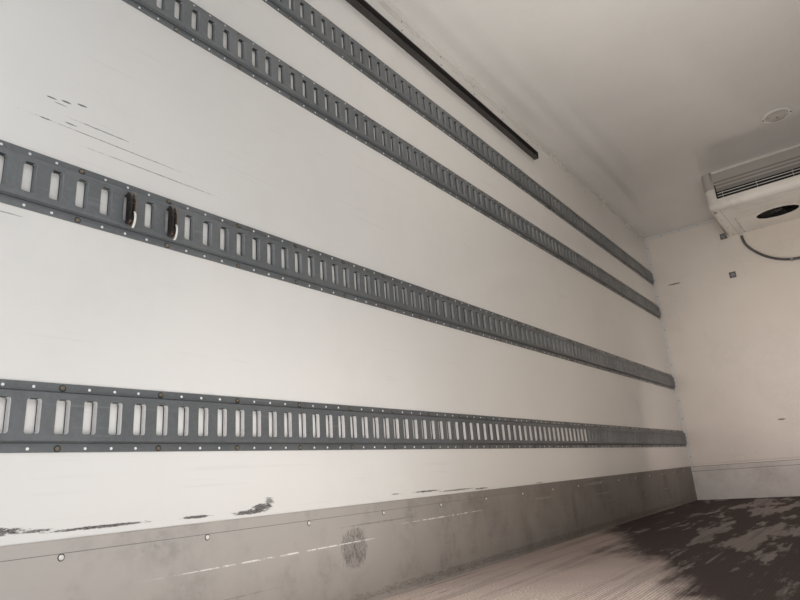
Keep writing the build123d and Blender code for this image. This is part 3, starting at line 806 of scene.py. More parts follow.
@dataclass(frozen=True)
class Lens(Finish):
    """Moulded lamp lens: coloured plastic with optic ribs inside a clear gloss."""

    name: str
    colour: Colour
    deep: Colour
    ribs: float = 420.0

    def wire(self, wiring: Wiring, place: Socket) -> dict:
        """Colour from fine ribs, dust and a glossy coat over them.

        Args:
            wiring: Wiring of the material.
            place: Point of the surface.

        Returns:
            Values and links of the shader, by socket.
        """
        rib = wiring.node("TexWave", {"Vector": place, "Scale": self.ribs / (2 * math.pi)}, wave_type="BANDS",
                          bands_direction="X").outputs["Fac"]
        dust = DIRT.mask(wiring, place, 12.0, 0.3)
        return {"Base Color": wiring.blend(dust, wiring.blend(rib, self.colour, self.deep), (0.35, 0.32, 0.28)),
                "Roughness": wiring.span(dust, 0.0, 1.0, 0.16, 0.6), "Normal": wiring.bump(rib, 0.0006, 0.5),
                "Coat Weight": 0.6, "Coat Roughness": 0.06}


@dataclass(frozen=True)
class DirtyFloor(Finish):
    """Worn metal floor with a fine raised tread, trodden dirt, long drag scratches, and a light stretch by the doorway
    that is partly dust and partly painted daylight.
    """

    name: str
    mud: Colour = (0.037, 0.022, 0.020)
    patch: Colour = (0.125, 0.094, 0.086)
    worn: Colour = (0.26, 0.21, 0.195)
    groove: Colour = (0.41, 0.33, 0.295)
    # Crests by the doorway: rubbed bare, and lightened as painted daylight.
    rubbed_and_daylit: Colour = (0.90, 0.775, 0.69)
    dots: float = 104.0

    def caked(self, wiring: Wiring, place: Socket, crest: Socket) -> tuple[Socket, Socket]:
        """Caked mud, worn off in sharp patches and long streaks.

        Args:
            wiring: Wiring of the material.
            place: Point of the floor.
            crest: Mask of the raised dots.

        Returns:
            The colour, and the mask of the bare patches.
        """
        bare = wiring.span(wiring.noise(wiring.stretched(place, (3.4, 0.62, 1.0)), 1.7, 9.0, 0.66), 0.51, 0.56)
        streak = wiring.span(wiring.noise(wiring.stretched(place, (16.0, 0.9, 1.0)), 1.0, 6.0, 0.7), 0.52, 0.56)
        colour = wiring.blend(bare, self.mud, self.patch)
        colour = wiring.blend(wiring.times(crest, wiring.times(bare, 0.6)), colour, self.worn)
        return wiring.blend(wiring.times(streak, 0.8), colour, self.mud), bare

    def near_door(self, wiring: Wiring, place: Socket) -> Socket:
        """Mask of the light stretch by the doorway, trodden and lightened as painted daylight, which reaches furthest
        along the middle, with a ragged edge.

        Args:
            wiring: Wiring of the material.
            place: Point of the floor.

        Returns:
            The mask.
        """
        aside = wiring.times(wiring.maths("ABSOLUTE", wiring.part(place, 0)), 2.2)
        ragged = wiring.times(wiring.noise(wiring.stretched(place, (3.0, 1.2, 1.0)), 1.5, 7.0, 0.6), 1.4)
        slant = wiring.plus(wiring.less(wiring.part(place, 1), aside), ragged)
        return wiring.less(1.0, wiring.span(slant, -1.80, -1.35), True)

    def wire(self, wiring: Wiring, place: Socket) -> dict:
        """Raised dots, caked mud, a dusty stretch by the door, lighter also as painted daylight, with drag lines, and
        scratches.

        Args:
            wiring: Wiring of the material.
            place: Point of the surface.

        Returns:
            Values and links of the shader, by socket.
        """
        tread = wiring.node("TexVoronoi", {"Vector": wiring.stretched(place, (self.dots, self.dots, 0.0)),
                                           "Scale": 1.0, "Randomness": 0.2}, distance="CHEBYCHEV", feature="F1")
        crest = wiring.span(tread.outputs["Distance"], 0.44, 0.20)
        colour, bare = self.caked(wiring, place, crest)
        near = self.near_door(wiring, place)
        # Dust by the doorway, lightened as painted daylight.
        dusty = wiring.blend(wiring.by_doorway(place, 1.25, 2.25), self.groove,
                             wiring.blend(crest, self.groove, self.rubbed_and_daylit))
        drag = wiring.span(wiring.noise(wiring.stretched(place, (20.0, 0.8, 1.0)), 1.0, 5.0, 0.65), 0.50, 0.60)
        colour = wiring.blend(wiring.less(near, wiring.times(drag, 0.26), True), colour, dusty)
        scratch = SCRATCHES.mask(wiring, place, wiring.stretched(place, (38.0, 0.9, 1.0)), 0.7)
        dull = wiring.most(wiring.less(1.0, bare, True), near)
        return {"Base Color": wiring.blend(scratch, colour, self.worn),
                "Roughness": wiring.span(dull, 0.0, 1.0, 0.42, 0.8),
                "Metallic": wiring.span(dull, 0.0, 1.0, 0.5, 0.0),
                "Normal": wiring.bump(bare, -0.0006, 0.5, wiring.bump(crest, 0.0012, 0.7))}


@dataclass(frozen=True)
class FinCore(Finish):
    """Face of a coil: thin upright fins, the gaps between them painted dark as shade, and a few bent ones."""

    name: str
    colour: Colour = (0.46, 0.47, 0.48)
    # Colour between the fins: painted shade.
    gap_shade: Colour = (0.015, 0.015, 0.016)
    pitch: float = 0.0035

    def wire(self, wiring: Wiring, place: Socket) -> dict:
        """Fins as bands across X, wavered by noise, and dust between them.

        Args:
            wiring: Wiring of the material.
            place: Point of the surface.

        Returns:
            Values and links of the shader, by socket.
        """
        waver = wiring.times(wiring.noise(place, 14.0), 0.0016)
        phase = wiring.times(wiring.plus(wiring.part(place, 0), waver), 1.0 / self.pitch)
        fin = wiring.span(wiring.maths("PINGPONG", phase, 0.5), 0.1, 0.34)
        dust = DIRT.mask(wiring, place, 8.0, 0.5)
        return {"Base Color": wiring.blend(dust, wiring.blend(fin, self.gap_shade, self.colour), (0.20, 0.18, 0.16)),
                "Roughness": wiring.span(fin, 0.0, 1.0, 0.8, 0.4), "Metallic": wiring.times(fin, 0.7),
                "Normal": wiring.bump(fin, 0.0012, 0.8)}


BLACK_SCUFF: Colour = (0.025, 0.022, 0.022)
BROWN_SCUFF: Colour = (0.16, 0.10, 0.065)
STAIN: Colour = (0.085, 0.072, 0.064)
DASHES = (40.0, 10.0, 20.0)
SHEET = 0.02


def on_left(station: float, height: float, half_length: float, half_height: float, *look: object) -> Mark:
    """A mark on the left wall, by its station from the rear and height above the floor, in metres."""
    return Mark(PLAN.on_wall(station, height), (SHEET, half_length, half_height), *look)


def on_bulkhead(across: float, height: float, half_width: float, half_height: float, *look: object) -> Mark:
    """A brown mark on the front wall, by its distance from the left wall and height above the floor."""
    centre = (across - PLAN.half_inside, PLAN.bulkhead, PLAN.above(height))
    return Mark(centre, (half_width, SHEET, half_height), BROWN_SCUFF, *look)


LEFT_WALL_MARKS = tuple(
    on_left(station, height, length, tall, BLACK_SCUFF, amount, torn, (40.0, 70.0, 300.0), 0.35)
    for station, height, length, tall, amount, torn in (
        (0.43, 0.281, 0.060, 0.0070, 1.0, 2.7), (0.50, 0.277, 0.030, 0.0030, 0.9, 2.5),
        (0.62, 0.273, 0.110, 0.0032, 1.0, 1.7), (0.825, 0.272, 0.040, 0.0036, 1.0, 1.9),
        (0.970, 0.270, 0.055, 0.0060, 1.0, 1.7), (1.005, 0.279, 0.034, 0.0090, 1.0, 2.2),
        (1.028, 0.291, 0.014, 0.0100, 0.8, 2.9), (1.53, 0.277, 0.030, 0.0024, 0.8, 2.5),
        (1.69, 0.276, 0.090, 0.0032, 1.0, 2.1), (1.88, 0.270, 0.120, 0.0026, 0.9, 2.5),
        (2.05, 0.266, 0.050, 0.0034, 0.9, 2.3), (2.56, 0.264, 0.040, 0.0026, 0.7, 2.5),
        (0.452, 1.134, 0.011, 0.0022, 1.0, 1.5), (0.480, 1.138, 0.013, 0.0026, 1.0, 1.7),
        (0.513, 1.146, 0.013, 0.0024, 1.0, 1.5), (0.470, 1.127, 0.016, 0.0016, 0.8, 1.9),
        (0.442, 1.080, 0.013, 0.0020, 0.9, 1.7), (0.494, 1.090, 0.016, 0.0020, 0.9, 1.7),
        (0.560, 1.104, 0.070, 0.0016, 0.8, 2.1), (0.600, 1.080, 0.200, 0.0013, 0.75, 1.9),
        (0.700, 1.050, 0.190, 0.0013, 0.70, 2.1), (0.400, 0.852, 0.030, 0.0016, 0.6, 2.5),
        (0.50, 1.69, 0.030, 0.0016, 0.5, 2.5)))
BULKHEAD_MARKS = (
    on_bulkhead(0.169, 1.757, 0.062, 0.0075, 1.0, 1.2, Mark.grain, 0.2),
    on_bulkhead(0.70, 0.55, 0.030, 0.0070, 1.0, 1.2, Mark.grain, 0.2),
    on_bulkhead(0.80, 0.27, 0.9, 0.006, 0.35, 2.4))
SCUFF_MARKS = tuple(
    on_left(station, height, length, tall, STAIN, amount, 1.5, (30.0, 110.0, 42.0), 0.6)
    for station, height, length, tall, amount in (
        (1.302, 0.152, 0.036, 0.048, 0.60), (1.352, 0.150, 0.034, 0.050, 0.60), (1.326, 0.118, 0.048, 0.026, 0.45),
        (1.330, 0.186, 0.040, 0.016, 0.45))) + (
    on_left(1.09, 0.163, 0.42, 0.0022, (0.95, 0.93, 0.90), 1.0, 0.4, DASHES, 1.0),
    on_left(1.80, 0.190, 0.30, 0.0022, (0.90, 0.88, 0.85), 1.0, 0.4, DASHES, 1.0),
    on_left(0.80, 0.095, 0.30, 0.0016, (0.14, 0.13, 0.125), 0.5, 1.6),
    on_left(1.45, 0.205, 0.22, 0.0030, (0.10, 0.09, 0.085), 0.5, 2.0),
    on_left(2.9, 0.12, 0.03, 0.10, (0.08, 0.07, 0.065), 0.5, 1.6),
    on_left(3.0, 0.02, 2.6, 0.016, (0.09, 0.078, 0.07), 0.55, 1.8))

FINISHES = {finish.name: finish for finish in (
    Painted("white_wall", (0.80, 0.795, 0.785), (0.76, 0.755, 0.745), 0.20, dirt=0.10, scratch=0.05, coat=0.25),
    Painted("left_wall", (0.81, 0.80, 0.775), (0.78, 0.77, 0.745), 0.20, dirt=0.06, scratch=0.06, coat=0.25,
            marks=LEFT_WALL_MARKS),
    Painted("bulkhead", (0.86, 0.80, 0.735), (0.82, 0.76, 0.695), 0.24, dirt=0.12, scratch=0.05, coat=0.2,
            marks=BULKHEAD_MARKS),
    Painted("ceiling", (0.80, 0.79, 0.775), (0.76, 0.75, 0.735), 0.10, dirt=0.06, scratch=0.03, coat=0.3),
    Metal("aluminium", (0.62, 0.63, 0.64), (0.50, 0.51, 0.52), 0.36, dirt_tint=(0.22, 0.20, 0.18)),
    # Scuff plates: lighter towards the doorway, partly rubbed and partly painted daylight.
    Metal("scuff_metal", (0.225, 0.203, 0.188), (0.275, 0.250, 0.232), 0.5, 0.3, 0.08, 30.0, 0.3,
          (0.50, 0.49, 0.48), dirt=0.45, dirt_tint=(0.13, 0.112, 0.10), marks=SCUFF_MARKS, rubbed_and_daylit=(0.55, 0.52, 0.49)),
    Metal("kick_metal", (0.72, 0.69, 0.66), (0.78, 0.75, 0.72), 0.45, 0.2, 0.08, 30.0, 0.3, (0.40, 0.38, 0.36),
          Grain.ACROSS, dirt=0.35, dirt_tint=(0.32, 0.28, 0.25)),
    Metal("galvanised_rail", (0.180, 0.196, 0.208), (0.245, 0.262, 0.274), 0.44, 0.6, 0.12, 170.0, 0.25,
          (0.36, 0.38, 0.39), rust=0.04, dirt=0.3, dirt_tint=(0.085, 0.088, 0.09)),
    # Lips of the slots: the rail's steel, lighter as painted sheen.
    Metal("lip_sheen", (0.22, 0.23, 0.235), (0.30, 0.305, 0.31), 0.42, 0.35, scratch=0.1, grain=Grain.UPRIGHT,
          dirt=0.2),
    # Lips of the lowest rail's rear length: painted highlight.
    Metal("lit_lip_highlight", (0.74, 0.72, 0.71), (0.60, 0.58, 0.57), 0.42, 0.1, scratch=0.1, grain=Grain.UPRIGHT,
          dirt=0.15),
    # Dark finish: painted shade in the rail's creases and slot ends, the splice joint, and the rings under the brass
    # heads.
    Metal("dark_edges_and_shade", (0.03, 0.035, 0.04), (0.06, 0.07, 0.075), 0.6, 0.3, 0.35),
    Metal("frame_steel", (0.55, 0.555, 0.56), (0.44, 0.445, 0.45), 0.33, grain=Grain.UPRIGHT, dirt=0.35,
          dirt_tint=(0.20, 0.18, 0.16)),
    Painted("underframe_paint", (0.022, 0.022, 0.024), (0.035, 0.033, 0.032), 0.42, dirt=0.75, dirt_scale=4.0,
            dirt_tint=(0.13, 0.105, 0.085), scratch=0.5),
    DirtyFloor("tread_metal"),
    Painted("white_trim", (0.78, 0.77, 0.75), (0.72, 0.71, 0.69), 0.26, dirt=0.25, scratch=0.2),
    Metal("channel_steel", (0.052, 0.049, 0.048), (0.080, 0.075, 0.073), 0.42, 0.4, scratch=0.3,
          scratch_tint=(0.22, 0.21, 0.21), dirt=0.2),
    Painted("evaporator_plastic", (0.92, 0.885, 0.83), (0.87, 0.835, 0.78), 0.34, 0.00006, 240.0, 0.3, scratch=0.1,
            grain=Grain.ACROSS),
    Metal("grille_wire", (0.60, 0.61, 0.62), (0.46, 0.47, 0.48), 0.3, grain=Grain.ACROSS),
    Painted("slat_grey", (0.52, 0.49, 0.455), (0.45, 0.42, 0.39), 0.4, dirt=0.2, scratch=0.0),
    # Some of the lowest guard slats: darker as painted shade.
    Painted("slat_painted_shade", (0.30, 0.285, 0.27), (0.25, 0.235, 0.22), 0.5, dirt=0.3, scratch=0.0),
    FinCore("coil_fins"),
    Rubber("fan_plastic", (0.010, 0.010, 0.012), (0.024, 0.023, 0.024), 0.55, 0.3),
    Rubber("hose_grey", (0.095, 0.092, 0.090), (0.20, 0.19, 0.18), 0.48, 0.35),
    Painted("unit_white", (0.78, 0.785, 0.785), (0.73, 0.735, 0.735), 0.28, dirt_scale=3.5, coat=0.2),
    Rubber("seal_rubber", (0.018, 0.018, 0.019), (0.09, 0.085, 0.08)),
    Metal("zinc_hardware", (0.50, 0.51, 0.53), (0.38, 0.39, 0.41), 0.34, spangle=0.45, spangle_scale=120.0,
          rust=0.12, dirt=0.35),
    Rubber("bumper_rubber", (0.016, 0.016, 0.016), (0.085, 0.078, 0.070), 0.7, 0.8, 0.0002),
    Lens("red_lens", (0.42, 0.012, 0.010), (0.26, 0.006, 0.006)),
    Lens("amber_lens", (0.72, 0.235, 0.015), (0.52, 0.145, 0.010)),
    Lens("lamp_lens", (0.72, 0.70, 0.66), (0.60, 0.58, 0.545), 900.0),
    Metal("fitting_steel", (0.040, 0.037, 0.036), (0.075, 0.066, 0.060), 0.42, 0.6, 0.2, rust=0.35,
          rust_tint=(0.10, 0.052, 0.033), dirt=0.3),
    Metal("brass_head", (0.36, 0.30, 0.22), (0.20, 0.16, 0.115), 0.32, 0.5, 0.3, rust=0.3,
          rust_tint=(0.12, 0.065, 0.04)),
    Painted("pale_dimple", (0.93, 0.92, 0.90), (0.88, 0.87, 0.85), dirt=0.1, scratch=0.0),
    Metal("fitting_brown", (0.34, 0.255, 0.19), (0.22, 0.165, 0.13), 0.45, 0.4, 0.2, grain=Grain.UPRIGHT, rust=0.4,
          rust_tint=(0.10, 0.052, 0.033), dirt=0.3),
    Metal("bright_wire", (0.92, 0.90, 0.85), (0.84, 0.82, 0.77), 0.25, 0.2, dirt=0.05),
    # Rivet and screw heads: pale metal, lightened as painted highlight.
    Metal("rivet_metal_and_highlight", (0.90, 0.885, 0.87), (0.80, 0.785, 0.77), 0.3, 0.15, dirt=0.1),
    Painted("shaded_cap", (0.54, 0.51, 0.475), (0.48, 0.455, 0.425), 0.4, dirt=0.2, scratch=0.0),
    Rubber("pressed_line", (0.23, 0.205, 0.19), (0.30, 0.27, 0.25), 0.6),
    Rubber("dark_gap", (0.012, 0.011, 0.011), (0.03, 0.028, 0.026), 0.8),
    Metal("plate_grey", (0.12, 0.12, 0.12), (0.20, 0.20, 0.195), 0.5, 0.6, 0.6, 90.0, dirt=0.5),
    Metal("copper_tube", (0.45, 0.20, 0.12), (0.33, 0.14, 0.08), 0.35, dirt=0.4),
    Painted("door_skin", (0.80, 0.795, 0.78), (0.75, 0.745, 0.73), 0.24, dirt=0.3, scratch=0.3, grain=Grain.UPRIGHT,
            coat=0.2),
    Metal("bolt_zinc", (0.58, 0.59, 0.60), (0.40, 0.40, 0.41), 0.3, spangle=0.3, spangle_scale=160.0, rust=0.2,
          dirt=0.4),
    # Black motors and pan, and black sheets behind the evaporator guard, at its ends and in the channels, put there as
    # painted shade.
    Rubber("black_and_painted_shade", (0.010, 0.010, 0.011), (0.03, 0.03, 0.032), 0.6),
)}
NODE_FINISH = {node: finish for finish, nodes in {
    "underframe_paint": "longsill_left longsill_right crossmembers",
    "white_wall": "floor_panel side_wall_right door_left door_right",
    "tread_metal": "tread_floor",
    "left_wall": "side_wall_left",
    "bulkhead": "front_wall",
    "ceiling": "roof_panel",
    "aluminium": "top_rail bottom_rail corner_posts",
    "frame_steel": "rear_frame",
    "seal_rubber": "door_gasket_left door_gasket_right",
    "zinc_hardware": "hinge_straps_left hinge_straps_right hinge_brackets_left hinge_brackets_right "
                     "lock_gear_left lock_gear_right lock_keepers backing_plates",
    "galvanised_rail": "cargo_rails_left cargo_rails_right",
    "scuff_metal": "scuff_plate_left scuff_plate_right",
    "kick_metal": "kick_plate",
    "channel_steel": "ceiling_channel_left ceiling_channel_right",
    "white_trim": "corner_trims",
    "lamp_lens": "ceiling_lamp",
    "evaporator_plastic": "evaporator_housing",
    "grille_wire": "evaporator_grille fan_guards",
    "coil_fins": "evaporator_frame condenser",
    "fan_plastic": "evaporator_fan_left evaporator_fan_right condenser_fan_left condenser_fan_right",
    "hose_grey": "drain_elbow drain_hose",
    "fitting_steel": "rail_fittings",
    "unit_white": "nose_unit_housing",
    "bumper_rubber": "dock_bumpers",
    "red_lens": "tail_lamps rear_markers",
    "amber_lens": "front_markers",
}.items() for node in nodes.split()}


def coat(name: str) -> bpy.types.Material:
    """The material of a finish by its name."""
    return FINISHES[name].material()


@dataclass
class Studio:
    """Camera, lamps, world and floor round the object."""

    eye: tuple = (-0.0017, -2.9232, 0.6325)
    lens: float = 27.05
    sensor: float = 36.0
    yaw: float = 36.225
    pitch: float = 16.694
    roll: float = 4.322
    floor_half: float = 60.0

    def camera(self) -> None:
        """Puts the camera where the photograph was taken: a yaw left, a pitch up and a roll."""
        facing = Matrix(((1, 0, 0), (0, 0, -1), (0, 1, 0)))
        for angle, axis in ((self.roll, "Y"), (self.pitch, "X"), (self.yaw, "Z")):
            facing = Matrix.Rotation(math.radians(angle), 3, axis) @ facing
        data = bpy.data.cameras.new("view_camera")
        data.lens, data.sensor_width = self.lens, self.sensor
        data.clip_start, data.clip_end = 0.01, 200.0
        made = in_scene("view_camera", data)
        made.matrix_world = Matrix.Translation(self.eye) @ facing.to_4x4()
        bpy.context.scene.camera = made

    def lamp(self, name: str, place: tuple, aim: tuple, size: tuple, power: float, tint: Colour = (1, 1, 1),
             glossy: bool = True, spread: float = 180.0) -> None:
        """One soft rectangular lamp.

        Args:
            name: Name of the lamp.
            place: Its centre.
            aim: Point it faces.
            size: Its two sides.
            power: Watts.
            tint: Colour of its light.
            glossy: Whether it shows in glossy surfaces.
            spread: Full angle of its light, in degrees.
        """
        data = bpy.data.lights.new(name, "AREA")
        data.shape, data.size, data.size_y = "RECTANGLE", *size
        data.energy, data.color, data.spread = power, tint, math.radians(spread)
        made = in_scene(name, data)
        facing = (Vector(aim) - Vector(place)).to_track_quat("-Z", "Y")
        made.matrix_world = Matrix.Translation(place) @ facing.to_matrix().to_4x4()
        made.visible_camera, made.visible_glossy = False, glossy

    def lamps(self) -> None:
        """Daylight in at the doorway, soft fills inside off the floor and up to the roof, and two lamps outside."""
        self.lamp("doorway_daylight", (0.5, -6.2, 1.9), (-0.3, 1.0, 1.35), (4.2, 3.2), 12.0, (0.93, 0.97, 1.0))
        self.lamp("floor_bounce", (0, -0.5, 0.345), (0, -0.5, 2.5), (2.0, 1.5), 6.0, (1.0, 0.83, 0.67), False)
        self.lamp("rear_floor_bounce", (0.1, -2.0, 0.345), (0.1, -2.0, 2.5), (2.0, 1.5), 18.0, glossy=False)
        self.lamp("roof_fill", (0.15, -1.1, 1.35), (-0.3, -1.0, 2.6), (1.0, 1.4), 3.0, (1.0, 0.93, 0.82), False, 110)
        self.lamp("inside_fill", (0.5, 0.3, 2.2), (-0.4, 0.5, 0.3), (1.2, 4.0), 10.0, (1.0, 0.84, 0.70), False)
        self.lamp("front_fill", (0, 0.9, 1.2), (0, 2.46, 1.6), (1.6, 1.2), 4.0, (1.0, 0.92, 0.84), False, 110)
        self.lamp("kick_light", (-0.3, 1.45, 0.80), (-0.5, 2.46, 0.42), (1.2, 0.3), 1.9, (1.0, 0.80, 0.74), False)
        self.lamp("sill_light", (-0.1, -2.1, 1.25), (-0.55, -1.75, 0.32), (0.9, 1.3), 2.9, (1.0, 0.93, 0.87), False, 85)
        self.lamp("key_outside", (8.5, -4.5, 9.5), (0, 0, 1.2), (7, 7), 900.0)
        self.lamp("fill_outside", (-9.5, 6.5, 6.0), (0, 0, 1.2), (8, 8), 520.0)

    def world(self) -> None:
        """Even pale light from all round, white where the camera and gloss look at it."""
        world = bpy.data.worlds.new("studio")
        world.use_nodes = True
        world.node_tree.nodes.clear()
        wiring = Wiring(world.node_tree)
        path = wiring.node("LightPath").outputs
        seen = wiring.most(wiring.most(path["Is Camera Ray"], path["Is Glossy Ray"]), path["Is Transmission Ray"])
        colour = wiring.blend(seen, (0.82, 0.91, 1.0), (0.93, 0.94, 0.96))
        back = wiring.node("Background", {"Color": colour, "Strength": wiring.maths("MULTIPLY_ADD", seen, 0.5, 0.4)})
        wiring.node("OutputWorld", (back.outputs["Background"],))
        bpy.context.scene.world = world

    def floor(self) -> None:
        """Plain pale floor under the object."""
        ends = np.array([-self.floor_half, self.floor_half])
        points, blocks = grid_patch(rows(ends[:, None], ends, 0.0))
        mesh = bpy.data.meshes.new("studio_floor")
        mesh.from_pydata(points.tolist(), [], blocks[0].tolist())
        mesh.materials.append(Painted("studio_floor", (0.74, 0.745, 0.75), (0.73, 0.735, 0.74), 0.8, dirt=0.0,
                                      scratch=0.0, peel=0.0).material())
        in_scene("studio_floor", mesh)

    def build(self) -> None:
        """Sets up everything round the object, and the plain view transform."""
        self.camera()
        self.lamps()
        self.world()
        self.floor()
        bpy.context.scene.view_settings.view_transform = "Standard"


@dataclass
class DrainHose:
    """Grey drain hose from the evaporator across the front wall, its clamp and its elbow."""

    radius: float = 0.010
    wall_gap: float = 0.014
    length: float = 0.6109
    route: tuple = ((-0.450, 2.020), (-0.450, 1.962), (-0.408, 1.886), (-0.322, 1.798), (-0.206, 1.739),
                    (-0.086, 1.726), (0.010, 1.726))
    clamp: tuple = (-0.161, 1.7309)

    def points(self) -> list:
        """The route in the shared frame, from the spout to the elbow."""
        return [(x, PLAN.bulkhead - self.wall_gap, PLAN.above(z)) for x, z in self.route]

    def tube(self) -> None:
        """The hose as a smooth spline with the route's points as its control points."""
        curve = bpy.data.curves.new("drain_tube", "CURVE")
        curve.dimensions = "3D"
        curve.bevel_depth, curve.bevel_resolution, curve.resolution_u = self.radius, 5, 16
        curve.use_fill_caps = True
        spline = curve.splines.new("NURBS")
        spline.points.add(len(self.route) - 1)
        for point, place in zip(spline.points, self.points()):
            point.co = (*place, 1.0)
        spline.order_u = 3
        spline.use_endpoint_u = True
        spline.use_smooth = True
        made = in_scene("drain_tube", curve)
        curve.materials.append(coat("hose_grey"))
        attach(made, "box")
        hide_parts("drain_hose")
        self.points()[0]

    def fittings(self) -> None:
        """Clamp bands on the hose and a moulded elbow with a wall flange."""
        stock = Stock()
        y = PLAN.bulkhead - self.wall_gap
        x, z = self.clamp[0], PLAN.above(self.clamp[1])
        stock.turned([(0.0101, -0.006), (0.0128, -0.006), (0.0132, -0.004), (0.0132, 0.004), (0.0128, 0.006),
                      (0.0101, 0.006)], 20, (x, y, z), (1, 0, -0.12), 1)
        stock.block((x - 0.007, y - 0.018, z - 0.006), (x + 0.007, y - 0.011, z + 0.006), 0.0015, 1)
        stock.add(bolt_patch(0.0038, 0.004, BACK), 1, (x, y - 0.0178, z))
        x, z = self.route[-1][0], PLAN.above(self.route[-1][1])
        bend, turn = np.linspace(0, math.pi / 2, 8), 0.014
        path = rows(x + 0.012 + turn * np.sin(bend), y + turn * (1 - np.cos(bend)) * 0.72, z)
        end = path[-1, 0]
        path = np.vstack([(x - 0.004, y, z), path, (end, PLAN.bulkhead - 0.0005, z)])
        stock.sweep(0.0128 * circle(18), path)
        stock.turned([(0, 0), (0.024, 0), (0.024, 0.003), (0.022, 0.004), (0.0135, 0.004), (0.0128, 0.006),
                      (0, 0.006)], 24, (end, PLAN.bulkhead, z), BACK)
        across, up = 0.0185 * circle(4, 0.5).T
        stock.repeat(dome_patch(0.0026, 0.0015, BACK), rows(end + across, PLAN.bulkhead - 0.004, z + up), 1)
        stock.piece("drain_elbow_moulding", "box", ("hose_grey", "zinc_hardware"), "hose_grey", "drain_elbow")

    def build(self) -> None:
        """Makes the hose and its fittings."""
        self.tube()
        self.fittings()


